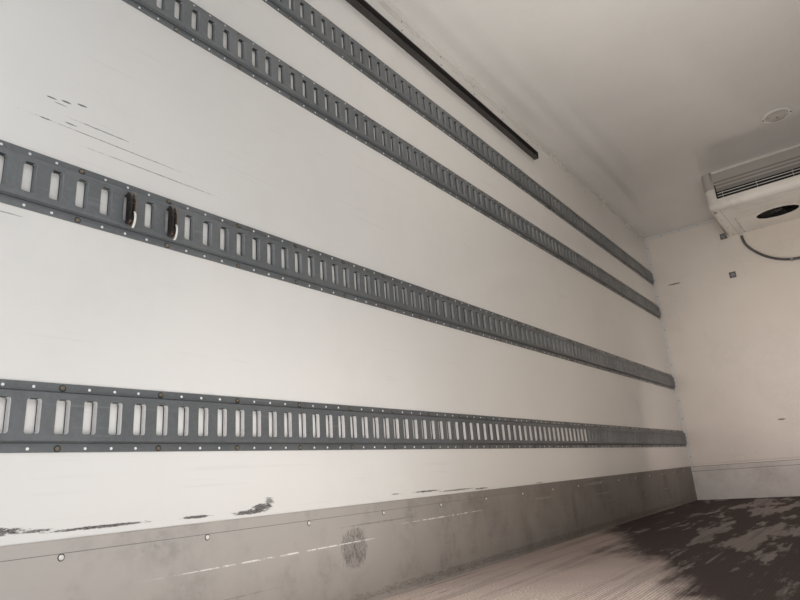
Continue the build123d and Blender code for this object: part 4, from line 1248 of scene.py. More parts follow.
@dataclass
class CargoRail:
    """Slotted cargo rails: a hat section of sheet steel, each slot with two lips bent in."""

    sheet: float = 0.0027
    depth: float = 0.0127
    height: float = 0.127
    flange: float = 0.017
    step: float = 0.003
    pitch: float = 0.0508
    slot_height: float = 0.0635
    mouth: float = 0.0254
    corner: float = 0.0045
    drawn: tuple = ((0, 0, 0), (0.0005, 0.0003, 0.0007), (0.0022, 0.0005, 0.0032), (0.0038, 0.0006, 0.0084),
                    (0.0043, 0.0006, 0.0108))
    start: float = 0.1425
    rear_slots: int = 60
    all_slots: int = 103
    splice: float = 0.0016
    lines: tuple = (0.4104, 0.8695, 1.4770, 1.7851)
    hole_heights: tuple = (0.0066, 0.1179)

    def profile(self) -> np.ndarray:
        """Section as (stand-off, height), from the back at the bottom to the back at the top."""
        foot = self.flange + self.step
        half = [(0, 0), (self.sheet - 0.0006, 0), (self.sheet, 0.0006), (self.sheet, self.flange - 0.001),
                (self.sheet + 0.0008, self.flange + 0.0002), (self.depth - 0.0012, foot - 0.0006),
                (self.depth, foot + 0.0008)]
        return np.array(half + [(out, self.height - up) for out, up in half[::-1]])

    def ribbons(self, parts: tuple, half: float, lift: float = 0.0) -> Patch:
        """Parts of the section carried half a length each way along the rail, a lift off its face.

        Args:
            parts: First and last corner of each part.
            half: Half of the length.
            lift: Distance off the face.

        Returns:
            An open patch at the origin.
        """
        stock, ends = Stock(), np.array([[-half], [half]])
        for first, last in parts:
            out, up = self.profile()[first:last].T
            stock.add(grid_patch(rows(out + lift, ends, up)))
        return stock.patch()

    def web(self) -> tuple[Patch, Patch, Patch]:
        """One pitch of the web round a slot, the slot's cut ends and innermost band painted dark as shade, and its
        lips, lighter as painted sheen.

        Rings run from the pitch's border to the mouth, and then in over four steps of the lip, whose
        sides close from the mouth to the clear width while its ends hardly move.
        """
        slot = np.array([self.mouth, self.slot_height]) / 2
        half = np.array([self.pitch / 2, self.height / 2 - self.flange - self.step - 0.0008])
        mouth = rounded_outline(self.mouth, self.slot_height, self.corner, 2)
        rings = [rows(self.depth, *np.clip(mouth * half / (slot - self.corner), -half, half).T)]
        for side_in, end_in, down in self.drawn:
            rings.append(rows(self.depth - down, *(mouth * (1 - np.array([side_in, end_in]) / slot)).T))
        points, (quads,) = ring_patch(np.stack(rings) + np.array([0, 0, self.height / 2]))
        column, row = np.divmod(quads[:, 0], len(rings))
        # The innermost band and the cut ends of the lips are painted dark as shade.
        deep = (row == len(rings) - 2) | ((row >= 1) & np.isin(column, (2, 8)))
        lip = (row >= 1) & ~deep
        return (points, [quads[row < 1]]), (points, [quads[deep]]), (points, [quads[lip]])

    def spots(self, line: float) -> np.ndarray:
        """Middles of the slots in one line, at the foot of the rail on the left wall."""
        middles = PLAN.station(self.start) + (np.arange(self.all_slots) + 0.5) * self.pitch
        return rows(-PLAN.half_inside, middles, PLAN.above(line))

    def lengths(self, line: float) -> Patch:
        """Flat ends of the two lengths of one line, each looking along the rail.

        Args:
            line: Height of the rail's foot above the floor.

        Returns:
            The four faces.
        """
        section, stock = self.profile(), Stock()
        face = rows(section[:, 0], 0.0, section[:, 1]), [np.arange(len(section))[None]]
        for first, last in ((0, self.rear_slots), (self.rear_slots, self.all_slots)):
            stock.add(face, 0, PLAN.on_wall(self.start + first * self.pitch, line))
            stock.add(flipped(face), 0, PLAN.on_wall(self.start + last * self.pitch, line))
        return stock.patch()

    def build(self) -> None:
        """Makes each side's rails, the small flange holes and the fixing heads."""
        half, joint = self.pitch / 2, self.start + self.rear_slots * self.pitch
        web, shaded_cuts, lips = self.web()
        # The flanges' step faces take the dark finish as painted crease shade; the splice is a dark joint.
        around = ((self.ribbons(((0, 7), (7, 14)), half), 0), (self.ribbons(((3, 5), (9, 11)), half, 0.0002), 1),
                  (web, 0), (shaded_cuts, 1))
        splice = self.ribbons(((1, -1),), self.splice / 2, 0.0003)
        rail, heads = Stock(), Stock()
        for line in self.lines:
            spots = self.spots(line)
            # The lips on the lowest rail's rear length take a painted highlight.
            worn = (spots[:, 1] < PLAN.station(joint)) & (line == self.lines[0])
            for patch, finish in around:
                rail.repeat(patch, spots, finish)
            rail.repeat(lips, spots[~worn], 2).repeat(lips, spots[worn], 3)
            rail.add(self.lengths(line)).add(splice, 1, PLAN.on_wall(joint, line))
            self.fixings(heads, spots)
        for side, rails, knobs in (("left", rail, heads), ("right", rail.other_side(), heads.other_side())):
            rails.piece(f"slotted_rails_{side}", "box", ("galvanised_rail", "dark_edges_and_shade", "lip_sheen", "lit_lip_highlight"),
                        "galvanised_rail", f"cargo_rails_{side}", 28.0)
            knobs.piece(f"rail_heads_{side}", "box", ("pale_dimple", "brass_head", "dark_edges_and_shade"), "zinc_hardware")

    def fixings(self, heads: Stock, spots: np.ndarray) -> None:
        """Small pale dimples at every slot, and a brass head on a dark ring at every fourth.

        Args:
            heads: Stock that takes the shapes.
            spots: Middles of the slots at the foot of one rail.
        """
        big = np.arange(self.all_slots) % 4 == 3
        for height in self.hole_heights:
            lift = np.array([self.sheet, 0.0, height])
            heads.repeat(dome_patch(0.0031, 0.0014, RIGHT, 6), spots[~big] + lift)
            heads.repeat(dome_patch(0.0046, 0.0034, RIGHT, 10), spots[big] + lift, 1)
            heads.repeat(dome_patch(0.0068, 0.0008, RIGHT, 10), spots[big] + lift, 2)


@dataclass
class SpringFitting:
    """Two spring fittings left in the second rail up: folded cheeks, a pawl and a bright hook."""

    slots: tuple = (9, 11)
    low: float = 0.891
    width: float = 0.013
    tall: float = 0.079
    stand: float = 0.0205
    wire: float = 0.0009

    def cheek(self, y: float) -> Patch:
        """One folded cheek: an outline in the plane square to Y, carried over its sheet."""
        out, up = np.array([(0.0, 0.004), (0.008, 0.0), (self.stand - 0.004, 0.010), (self.stand, 0.018),
                            (self.stand, 0.052), (self.stand - 0.007, 0.072), (0.008, 0.0775), (0.0, self.tall)]).T
        return ring_patch(rows(out, np.array([[y + 0.0011], [y - 0.0011]]), up), True)

    def shape(self) -> Stock:
        """One fitting about its slot."""
        half, stock = self.width / 2, Stock()
        stock.add(self.cheek(-half + 0.0012)).add(self.cheek(half - 0.0012), 2)
        stock.block((0.0, -half + 0.002, 0.006), (0.0135, half - 0.0055, self.tall - 0.004), 0.0012, 2)
        stock.block((0.006, -half + 0.0026, 0.058), (0.0175, half - 0.0026, 0.068), 0.0016)
        stock.block((0.006, -half + 0.0026, 0.010), (0.0180, half - 0.0026, 0.019), 0.0016)
        turns = np.linspace(0, 1, 110)
        angle = 9 * 2 * math.pi * turns
        stock.add(self.wound(rows(0.0125 + 0.0034 * np.cos(angle), 0.0034 * np.sin(angle), 0.020 + 0.036 * turns)))
        stock.rod((0.0145, -half - 0.0012, 0.050), (0.0145, half + 0.0012, 0.050), 0.0022)
        stock.rod((0.0125, -half - 0.0012, 0.065), (0.0125, half + 0.0012, 0.065), 0.0024)
        hook = [(0.0205, 0.027), (0.0235, 0.023), (0.0250, 0.017), (0.0250, 0.009), (0.0232, 0.001),
                (0.0195, -0.005), (0.0150, -0.008)]
        stock.sweep(rounded_outline(0.0028, 0.0050, 0.0012), [(x, half - 0.0040, z) for x, z in hook], FORTH, 1)
        return stock

    def wound(self, path: np.ndarray) -> Patch:
        """Thin wire along a helix: six points round each place, square to the axis of the coil.

        Args:
            path: Places along the helix.

        Returns:
            A closed patch.
        """
        out = unit(path[:, :2] - path[:, :2].mean(0))
        cosine, sine = circle(6).T
        rings = path[:, None] + self.wire * rows(out[:, :1] * cosine, out[:, 1:] * cosine, sine)
        return flipped(ring_patch(rings, True))

    def build(self) -> None:
        """Makes both fittings in their slots."""
        rail, stock = CargoRail(), Stock()
        for slot in self.slots:
            x, y, z = PLAN.on_wall(rail.start + (slot + 0.5) * rail.pitch, self.low)
            stock.take(self.shape(), (x + rail.depth, y, z))
        stock.piece("spring_fittings", "box", ("fitting_steel", "bright_wire", "fitting_brown"), "fitting_steel",
                    "rail_fittings")


@dataclass
class Linings:
    """Rivets and beads of the scuff plates, kick plate, trims and channels, and the bolted backing plates."""

    rivet_height: float = 0.2279
    first_rivet: float = 0.2419
    scuff: float = 0.003
    plate_x: float = 0.5803
    plate_heights: tuple = (1.721, 2.058)
    plate_size: float = 0.048
    plate_sheet: float = 0.004
    channel_low: float = 2.069
    channel_stations: tuple = (0.1425, 3.075)
    channel_size: tuple = (0.028, 0.042, 0.0025, 0.0045)

    def scuff_rivets(self) -> None:
        """Rivets and one pressed line along each scuff plate, and the screws and lines of the kick plate."""
        face, front = self.scuff - PLAN.half_inside, PLAN.bulkhead - self.scuff
        stations = PLAN.station(np.arange(self.first_rivet, 5.36, PLAN.rivet_pitch))
        spots = rows(face, stations, PLAN.above(self.rivet_height))
        # Rivet heads in a pale finish, lightened as painted highlight.
        side = Stock().repeat(dome_patch(0.0050, 0.0026, RIGHT, 12), spots, 1)
        side.repeat(dome_patch(0.0066, 0.0008, RIGHT, 12), spots, 2)
        for height, finish in ((0.2345, 3), (0.2570, 0)):
            path = [(face, y, PLAN.above(height)) for y in (PLAN.frame_front + 0.001, PLAN.bulkhead - 0.004)]
            side.sweep(rounded_outline(0.0008, 0.0013, 0.0003), path, UP, finish)
        both = side.take(side.other_side())
        screws = rows(0.088 - PLAN.half_inside + PLAN.rivet_pitch * np.arange(8), front, PLAN.above(0.225))
        both.repeat(dome_patch(0.0046, 0.0022, BACK, 10), screws, 1)
        for height in (0.2535, 0.2180):
            both.sweep(rounded_outline(0.0022, 0.003, 0.0007), [(x, front, PLAN.above(height))
                                                                for x in (-1.188, 1.188)])
        both.piece("scuff_rivets", "box", ("scuff_metal", "rivet_metal_and_highlight", "dark_gap", "pressed_line"), "scuff_metal")

    def trim_rivets(self) -> None:
        """Small dark rivets down the corner trims and in two rows under the ceiling."""
        inwards, back = dome_patch(0.0034, 0.0016, RIGHT), dome_patch(0.0034, 0.0016, BACK)
        along = PLAN.station(np.arange(0.266, 5.30, PLAN.rivet_pitch))
        down = PLAN.above(np.arange(0.33, 2.18, 0.15))
        across = -np.arange(0.60, 1.16, 0.15)
        side, front = Stock(), PLAN.bulkhead - 0.002
        for inset, height in ((0.002, 2.212), (0.0, 2.168)):
            side.repeat(inwards, rows(inset - PLAN.half_inside, along, PLAN.above(height)))
        side.repeat(back, rows(0.015 - PLAN.half_inside, front, down))
        side.repeat(back, rows(across, front, PLAN.ceiling - 0.014))
        side.take(side.other_side()).piece("trim_rivets", "box", ("dark_gap",), "white_trim")

    def channels(self) -> None:
        """Slim open channels high on both walls: a C with turned lips, closed ends and bolts in its back."""
        reach, tall, sheet, lip = self.channel_size
        section = np.array([(0, 0), (0, tall), (-reach, tall), (-reach, tall - lip), (sheet - reach, tall - lip),
                            (sheet - reach, tall - sheet), (-sheet, tall - sheet), (-sheet, sheet),
                            (sheet - reach, sheet), (sheet - reach, lip), (-reach, lip), (-reach, sheet),
                            (sheet - reach, 0)])
        (wall, start, low), (_, stop, _) = (PLAN.on_wall(y, self.channel_low) for y in self.channel_stations)
        stock, high = Stock(), low + tall
        stock.sweep(section, [(wall, start, low), (wall, stop, low)])
        for y in (start, stop - 0.002):
            stock.block((wall, y, low), (wall + reach, y + 0.002, high), 0.0006)
        # A black strip in the channel's back: painted shade inside the channel.
        stock.block((wall + sheet, start + 0.003, low + sheet), (wall + sheet + 0.001, stop - 0.003, high - sheet),
                    0.0004, 2)
        bolts = rows(wall + sheet, np.linspace(start + 0.08, stop - 0.08, 8), low + tall / 2)
        stock.repeat(bolt_patch(0.0055, 0.005, RIGHT), bolts, 1)
        for side, channel in (("left", stock), ("right", stock.other_side())):
            channel.piece(f"slim_channel_{side}", "box", ("channel_steel", "zinc_hardware", "black_and_painted_shade"),
                          "channel_steel", f"ceiling_channel_{side}")

    def backing(self) -> None:
        """Square plates with a bolt and a round washer, on the front wall."""
        stock, half, y = Stock(), self.plate_size / 2, PLAN.bulkhead - self.plate_sheet
        for x in (-self.plate_x, self.plate_x):
            for z in map(PLAN.above, self.plate_heights):
                stock.block((x - half, y, z - half), (x + half, PLAN.bulkhead, z + half), 0.0012)
                stock.turned([(0, 0), (0.0165, 0), (0.0165, 0.0016), (0.0150, 0.0022), (0, 0.0022)], 24, (x, y, z),
                             BACK, 1)
                stock.add(bolt_patch(0.0098, 0.0085, BACK, 0.4), 1, (x, y - 0.0022, z))
        stock.piece("bolted_plates", "box", ("plate_grey", "zinc_hardware"), "zinc_hardware", "backing_plates")

    def build(self) -> None:
        """Makes every lining detail."""
        self.scuff_rivets()
        self.trim_rivets()
        self.channels()
        self.backing()


@dataclass
class CeilingLamp:
    """Round ceiling lamp: a stepped bezel, a ribbed lens and two screws."""

    radius: float = 0.080
    height: float = 0.020
    station: float = 3.910

    def build(self) -> None:
        """Turns the bezel and the lens about the lamp's axis, hanging from the ceiling."""
        rim, place, stock = self.radius, np.array([0, PLAN.station(self.station), PLAN.ceiling]), Stock()
        # The bezel is pale white plastic, partly lightened beyond the ceiling's white as painted highlight.
        stock.turned([(0.050, 0.0), (rim, 0.0), (rim, 0.005), (rim - 0.004, 0.009), (rim - 0.014, 0.0105),
                      (rim - 0.020, 0.009), (rim - 0.023, 0.012), (rim - 0.028, 0.0125), (0.0500, 0.011),
                      (0.050, 0.0)], 64, place, DOWN)
        stock.turned([(0, 0.004), (0.0505, 0.004), (0.0505, 0.0125), (0.047, 0.0165), (0.038, 0.0188),
                      (0.020, self.height), (0.007, self.height), (0.006, 0.0185), (0, 0.0185)], 48, place, DOWN, 1)
        stock.turned([(0.0555, 0.0090), (0.0560, 0.0131), (0.0595, 0.0129), (0.0600, 0.0090)], 64, place, DOWN, 3)
        stock.add(dome_patch(0.010, 0.0012, DOWN), 2, place - (0, 0, 0.0188))
        for side in SIDES:
            stock.add(dome_patch(0.0060, 0.0024, DOWN), 2, place + (side * (rim - 0.009), 0, -0.0095))
        stock.piece("round_ceiling_lamp", "box", ("pale_dimple", "lamp_lens", "dark_gap", "shaded_cap"), "lamp_lens",
                    "ceiling_lamp")


@dataclass
class AxialFan:
    """Axial fan: cambered, twisted and swept blades on a ribbed hub."""

    hub_radius: float
    hub_length: float
    tip_radius: float
    root_chord: float
    tip_chord: float
    blades: int = 5
    root_pitch: float = math.radians(32)
    tip_pitch: float = math.radians(22)
    camber: float = 0.09
    sheet: float = 0.003
    sweep: float = 0.24

    def blade(self, turn: float) -> Patch:
        """One blade as closed rings from the hub to the tip.

        At radius r the ring's chord runs tangentially by s times the chord times the cosine of the pitch,
        and along the axis by its sine. The camber adds camber times chord times (1 - 4 s squared), and half
        the sheet goes to each side, thinning towards both edges. The tangential part is bent round the axis
        as an angle over r, and sweep turns the tip forward by the square of the share of the span.

        Args:
            turn: Angle of the blade's root round the axis.

        Returns:
            A closed patch.
        """
        span = np.linspace(0, 1, 9)[:, None]
        radius = self.hub_radius * 0.9 + span * (self.tip_radius - self.hub_radius * 0.9)
        chord = self.root_chord + span * (self.tip_chord - self.root_chord)
        chord = chord * (1 - 0.16 * np.clip((span - 0.75) / 0.25, 0, 1) ** 2)
        pitch = self.root_pitch + span * (self.tip_pitch - self.root_pitch)
        s = np.concatenate([np.linspace(-0.5, 0.5, 9), np.linspace(0.5, -0.5, 9)[1:-1]])
        face = np.repeat([1, -1], [9, 7])
        rise = self.camber * chord * (1 - 4 * s ** 2) + face * self.sheet / 2 * (1 - (2 * s) ** 6)
        along = s * chord * np.cos(pitch) - rise * np.sin(pitch)
        axial = np.clip(s * chord * np.sin(pitch) + rise * np.cos(pitch), -self.limit(), self.limit())
        angle = turn + along / radius + self.sweep * span ** 2
        return flipped(ring_patch(rows(radius * np.cos(angle), radius * np.sin(angle), axial), True))

    def limit(self) -> float:
        """Furthest a blade reaches along the axis from the middle of the hub."""
        return 0.5 * self.tip_chord * math.sin(self.tip_pitch) + 0.004

    def hub(self) -> Patch:
        """Hub with a rounded nose and a recessed cap, turned about the axis."""
        r, h = self.hub_radius, self.hub_length / 2
        return lathe_patch([(0, -h), (0.5 * r, -h), (0.52 * r, -h + 0.003), (0.74 * r, -h + 0.003), (0.78 * r, -h),
                            (r - 0.004, -h), (r - 0.001, -h + 0.0015), (r, -h + 0.005), (r, h - 0.001),
                            (r - 0.001, h), (0, h)], 40)

    def build(self, name: str, node: str, place: tuple, axis: tuple) -> None:
        """Makes the fan on its own body and stands it in for the solid.

        Args:
            name: Name of the piece.
            node: CAD node it replaces. Its last word is the side, and its body's name starts with that.
            place: Middle of the hub.
            axis: Direction of the shaft, away from the open face.
        """
        stock = Stock().add(aimed(self.hub(), place, axis))
        for number in range(self.blades):
            stock.add(aimed(self.blade(2 * math.pi * number / self.blades), place, axis))
        kind, _, side = node.rpartition("_")
        stock.piece(name, f"{side}_{kind}", ("fan_plastic",), "fan_plastic", node)


@dataclass
class Evaporator:
    """Slim evaporator under the ceiling: moulded shell, guard, coil, motors and fans."""

    front: float = 1.5066
    front_half: float = 0.530
    back_half: float = 0.551
    mouth_half: float = 0.462
    lip_low: float = 2.2745
    mouth_low: float = 2.3425
    back_low: float = 2.3612
    nose: float = 0.038
    corner: float = 0.040
    cap_split: float = 2.420
    fan_x: float = 0.157
    fan_y: float = 2.0486
    fan_z: float = 2.32371
    hole: float = 0.136
    cell: float = 0.1465
    panel: tuple = (1.8928, 0.424)
    slope: float = 0.0908
    coil_front: float = 1.5966
    coil_back: float = 1.7266
    spout: tuple = (-0.450, 0.011)

    @property
    def length(self) -> float:
        """Depth from the front face to the front wall."""
        return PLAN.bulkhead - self.front

    @property
    def axis(self) -> np.ndarray:
        """Direction of both fan shafts, square to the underside."""
        return unit(np.array([0.0, -self.slope, 1.0]))

    def underside(self, y: np.ndarray) -> np.ndarray:
        """Height of the underside at a depth: level to the nose, then rising evenly to the front wall."""
        share = np.clip((y - self.front - self.nose) / (self.length - self.nose), 0, 1)
        return self.lip_low + share * (self.back_low - self.lip_low)

    def half_width(self, y: np.ndarray) -> np.ndarray:
        """Half width of the shell at a depth."""
        return self.front_half + (y - self.front) / self.length * (self.back_half - self.front_half)

    def wall(self, outline: np.ndarray, inward: np.ndarray, tops: list) -> Patch:
        """Upright face along a plan outline, rounded in under its foot by a quarter circle of the nose.

        Args:
            outline: Plan points (n, 2).
            inward: Unit plan direction into the shell at each point.
            tops: Heights of the levels above the rounding, from the top down.

        Returns:
            A patch looking outwards where the outline runs with the shell on its left.
        """
        turn = np.linspace(0, math.pi / 2, 6)
        inset = np.concatenate([np.zeros(len(tops)), self.nose * (1 - np.cos(turn))])
        plan = outline[:, None] + inward[:, None] * inset[:, None]
        foot = self.underside(plan[:, len(tops):, 1]) + self.nose * (1 - np.sin(turn))
        height = np.hstack([np.broadcast_to(tops, (len(outline), len(tops))), foot])
        return grid_patch(rows(plan[..., 0], plan[..., 1], height))

    def cap_outline(self) -> tuple[np.ndarray, np.ndarray]:
        """Plan outline of the left end cap from the mouth round the corner to the wall, and its inward side."""
        turn = np.linspace(0, math.pi / 2, 7)
        sides = np.linspace(self.front + self.corner, PLAN.bulkhead, 5)[1:]
        x = np.concatenate([[-self.mouth_half], self.corner * (1 - np.sin(turn)) - self.front_half,
                            -self.half_width(sides)])
        y = np.concatenate([[self.front], self.front + self.corner * (1 - np.cos(turn)), sides])
        turn = np.concatenate([[0], turn, np.full(4, math.pi / 2)])
        return rows(x, y), rows(np.sin(turn), np.cos(turn))

    def shell(self) -> None:
        """End caps, lip, underside with two fan collars, panel rim, seams, slots and screws."""
        stock, top, lip_top = Stock(), PLAN.ceiling - 0.0005, self.mouth_low - 0.002
        levels = [top, self.cap_split, self.mouth_low, lip_top]
        points, (quads,) = self.wall(*self.cap_outline(), levels)
        upper = quads[:, 0] % (len(levels) + 6) == 0
        stock.both_sides((points, [quads[~upper]])).both_sides((points, [quads[upper]]), 3)
        ends = np.array([[self.mouth_half], [-self.mouth_half]])
        stock.add(self.wall(rows(ends[:, 0], self.front), np.array([[0, 1], [0, 1]]), [lip_top]))
        y, z = np.array([(0.013, -0.034), (0.013, -0.002), (0.011, 0.0), (0.002, 0.0), (0.0, -0.002)]).T
        stock.add(grid_patch(rows(ends, self.front + y, self.mouth_low + z)))
        depth = np.array([[self.front], [self.coil_back]])
        stock.both_sides(grid_patch(rows(-self.mouth_half, depth, [self.mouth_low - 0.034, top])))
        self.belly(stock)
        self.rim(stock)
        self.seams(stock)
        stock.piece("evaporator_shell", "box", ("evaporator_plastic", "dark_gap", "zinc_hardware", "shaded_cap"),
                    "evaporator_plastic", "evaporator_housing", 40.0)

    def belly(self, stock: Stock) -> None:
        """Underside: flat cells round the fan holes, and a collar and a throat at each hole.

        Args:
            stock: Stock that takes the shapes.
        """
        inner, outer = self.fan_x - self.cell, self.fan_x + self.cell
        near, far = self.fan_y - self.cell, self.fan_y + self.cell
        for start, stop, holes in ((self.front + self.nose, near, ()), (near, far, (-outer, -inner, inner, outer)),
                                   (far, PLAN.bulkhead, ())):
            y = np.array([start, stop])
            edge = self.half_width(y) - self.nose
            borders = [-edge, *holes, edge]
            for left, right in zip(borders[::2], borders[1::2]):
                stock.add(grid_patch(rows(rows(left, right + 0 * y), y[:, None], self.underside(y)[:, None])))
        ray = circle(48, 0.5)
        square = ray / np.abs(ray).max(1, keepdims=True) * self.cell
        collar = [(self.hole, -0.003), (self.hole + 0.002, -0.005), (self.hole + 0.006, -0.005),
                  (self.hole + 0.0095, -0.003), (self.hole + 0.0105, 0.0005)]
        throat = [(self.hole, 0.030), (self.hole, -0.003)]
        for side in SIDES:
            x, y = (np.stack([square, ray * (self.hole + 0.002)]) + (side * self.fan_x, self.fan_y)).T
            stock.add(flipped(ring_patch(rows(x, y, self.underside(y)).transpose(1, 0, 2))))
            for finish, profile in enumerate((collar, throat)):
                stock.add(aimed(flipped(lathe_patch(profile, 64)), (side * self.fan_x, self.fan_y,
                                                                    self.underside(self.fan_y)), self.axis), finish)

    def rim(self, stock: Stock) -> None:
        """Raised rim of the fan panel with a dark line beside it, for the panel's joint and painted as the shadow of
        its step, and the screws that hold it.

        Args:
            stock: Stock that takes the shapes.
        """
        far, (near, half) = PLAN.bulkhead - 0.012, self.panel
        for inset, drop, width, finish in ((0.0, 0.0011, 0.005, 0), (0.0038, 0.0003, 0.0016, 1)):
            edge = half - inset
            path = [(-edge, far, 0), (-edge, near + inset, 0), (edge, near + inset, 0), (edge, far, 0)]
            points, faces = sweep_patch(rounded_outline(width, 2 * drop, 0.45 * drop), path, UP)
            stock.add((points + rows(0, 0, self.underside(points[:, 1])), faces), finish)
        spots = [(x, y) for x in (-half + 0.014, -0.005, half - 0.014) for y in (near + 0.014, far - 0.03)]
        x, y = np.array(spots + [(side * (half - 0.014), self.fan_y + 0.06) for side in SIDES]).T
        stock.repeat(dome_patch(0.0042, 0.0018, -self.axis), rows(x, y, self.underside(y)), 2)

    def seams(self, stock: Stock) -> None:
        """Seams, slots and screws of both end caps, a bead across the front and the drain spout.

        Args:
            stock: Stock that takes the shapes.
        """
        for side in SIDES:
            x = side * (self.mouth_half + 0.004)
            seam = [(x, y, self.underside(y) - 0.0002) for y in (self.front + self.nose, PLAN.bulkhead - 0.002)]
            stock.sweep(rounded_outline(0.0010, 0.0030, 0.0003), seam, RIGHT, 3)
            x = side * (self.mouth_half + 0.038)
            for y in (self.front + 0.075, self.front + 0.105):
                z = self.underside(y)
                stock.block((x - 0.010, y - 0.004, z - 0.0012), (x + 0.010, y + 0.004, z), 0.0008, 1)
            y = self.front + np.array([0.34, 0.62, 0.88])
            stock.repeat(dome_patch(0.0046, 0.002, -self.axis), rows(x, y, self.underside(y)), 1)
        y, reach = self.front + 0.118, self.mouth_half - 0.085
        z = self.underside(y)
        stock.block((-reach, y - 0.003, z - 0.0022), (reach, y + 0.003, z + 0.0004), 0.0006)
        x, radius = self.spout
        stock.turned([(0, 0), (radius - 0.002, 0), (radius, 0.002), (radius, 0.012), (radius - 0.0015, 0.014),
                      (radius - 0.0015, 0.05), (0, 0.05)], 20, (x, PLAN.bulkhead - 0.014, PLAN.above(2.020)), UP)

    def guard(self) -> None:
        """Two bright wires above the lip on a black plate, black blocks at both ends, and sloped level slats from there
        to the ceiling, on upright ties; the black plate, the blocks and the darker low slats are painted shade.
        """
        stock, y, half, low = Stock(), self.front + 0.007, self.mouth_half - 0.0005, self.mouth_low
        stock.repeat(rod_patch((-half, y, low), (half, y, low), 0.0024, 8), [(0, 0, 0.019), (0, 0, 0.040)])
        # Black plate behind the wires: painted shade of the unit's inside.
        stock.block((-half, y + 0.006, low - 0.030), (half, y + 0.0075, low + 0.060), 0.0006, 2)
        stock.block((-half, y - 0.003, PLAN.ceiling - 0.012), (half, y + 0.004, PLAN.ceiling - 0.001), 0.0010, 4)
        # Black blocks at both ends of the mouth: painted shadow between the caps and the guard.
        for side in SIDES:
            stock.block((side * half, y - 0.004, low - 0.002), (side * (half - 0.009), y + 0.007, low + 0.105),
                        0.0006, 2)
        blade = np.array([(0.0006, -0.0052), (0.0018, -0.0046), (-0.0004, 0.0052), (-0.0016, 0.0046)]) * (3.2, 1.0)
        slat = sweep_patch(blade, [(-half, y, 0), (half, y, 0)], UP)
        # Rows 0, 1, 3 and 5 take the darker slat finish as painted shade.
        for row, level in enumerate(np.arange(low + 0.060, PLAN.ceiling - 0.016, 0.0125)):
            stock.add(slat, 3 if row in (0, 1, 3, 5) else 1, (0, 0, level))
        for x in np.linspace(-0.42, 0.42, 5):
            stock.rod((x, y + 0.005, low + 0.001), (x, y + 0.005, PLAN.ceiling - 0.003), 0.0015, 1, 8)
        stock.piece("evaporator_guard", "box", ("bright_wire", "slat_grey", "black_and_painted_shade", "slat_painted_shade",
                                                "evaporator_plastic"), "grille_wire", "evaporator_grille")

    def core(self) -> None:
        """Ceiling plate, coil block with its end plates and return bends, inner pan, and the fan motors."""
        half, top, low = self.mouth_half - 0.001, PLAN.ceiling - 0.003, self.mouth_low - 0.033
        near, far, stock, turn = self.coil_front, self.coil_back, Stock(), np.linspace(0, math.pi, 9)
        stock.block((-half, near, top), (half, PLAN.bulkhead - 0.005, PLAN.ceiling - 0.0002), 0.0008, 1)
        stock.block((-half + 0.030, near, low), (half - 0.030, far, top), 0.002)
        stock.block((-half, self.front + 0.014, low), (half, near - 0.001, low + 0.0025), 0.0008, 2)
        for side, fan in zip(SIDES, self.hubs()):
            stock.block((side * (half - 0.030), near - 0.004, low - 0.003),
                        (side * (half - 0.027), far + 0.004, top), 0.0008, 1)
            for z in low + 0.030 + 0.038 * np.arange(5):
                for y in (near + 0.035, near + 0.090):
                    path = rows(side * (half - 0.027 + 0.013 * np.sin(turn)), y, z - 0.010 * np.cos(turn))
                    stock.sweep(0.0048 * circle(8), path, FORTH, 3)
            stock.turned([(0, 0.037), (0.030, 0.037), (0.038, 0.039), (0.042, 0.044), (0.042, 0.079),
                          (0.038, 0.083), (0, 0.083)], 32, fan, self.axis, 2)
            stock.rod(fan + self.axis * 0.0075, fan + self.axis * 0.043, 0.0069, 1, 14)
            stock.block(fan + (-0.030, -0.030, 0.064), (fan[0] + 0.030, fan[1] + 0.030, top), 0.003, 1)
        stock.piece("evaporator_core", "box", ("coil_fins", "aluminium", "black_and_painted_shade", "copper_tube"), "coil_fins",
                    "evaporator_frame")

    def hubs(self) -> list:
        """Points on both fan shafts level with the underside, the left one first."""
        return [np.array([side * self.fan_x, self.fan_y, self.fan_z]) for side in SIDES]

    def build(self) -> None:
        """Makes the whole evaporator, with both fans on their shafts."""
        self.shell()
        self.guard()
        self.core()
        fan = AxialFan(0.040, 0.024, 0.126, 0.056, 0.096)
        for name, hub in zip(("left", "right"), self.hubs()):
            fan.build(f"evaporator_fan_blades_{name}", f"evaporator_fan_{name}", hub + self.axis * 0.019, self.axis)


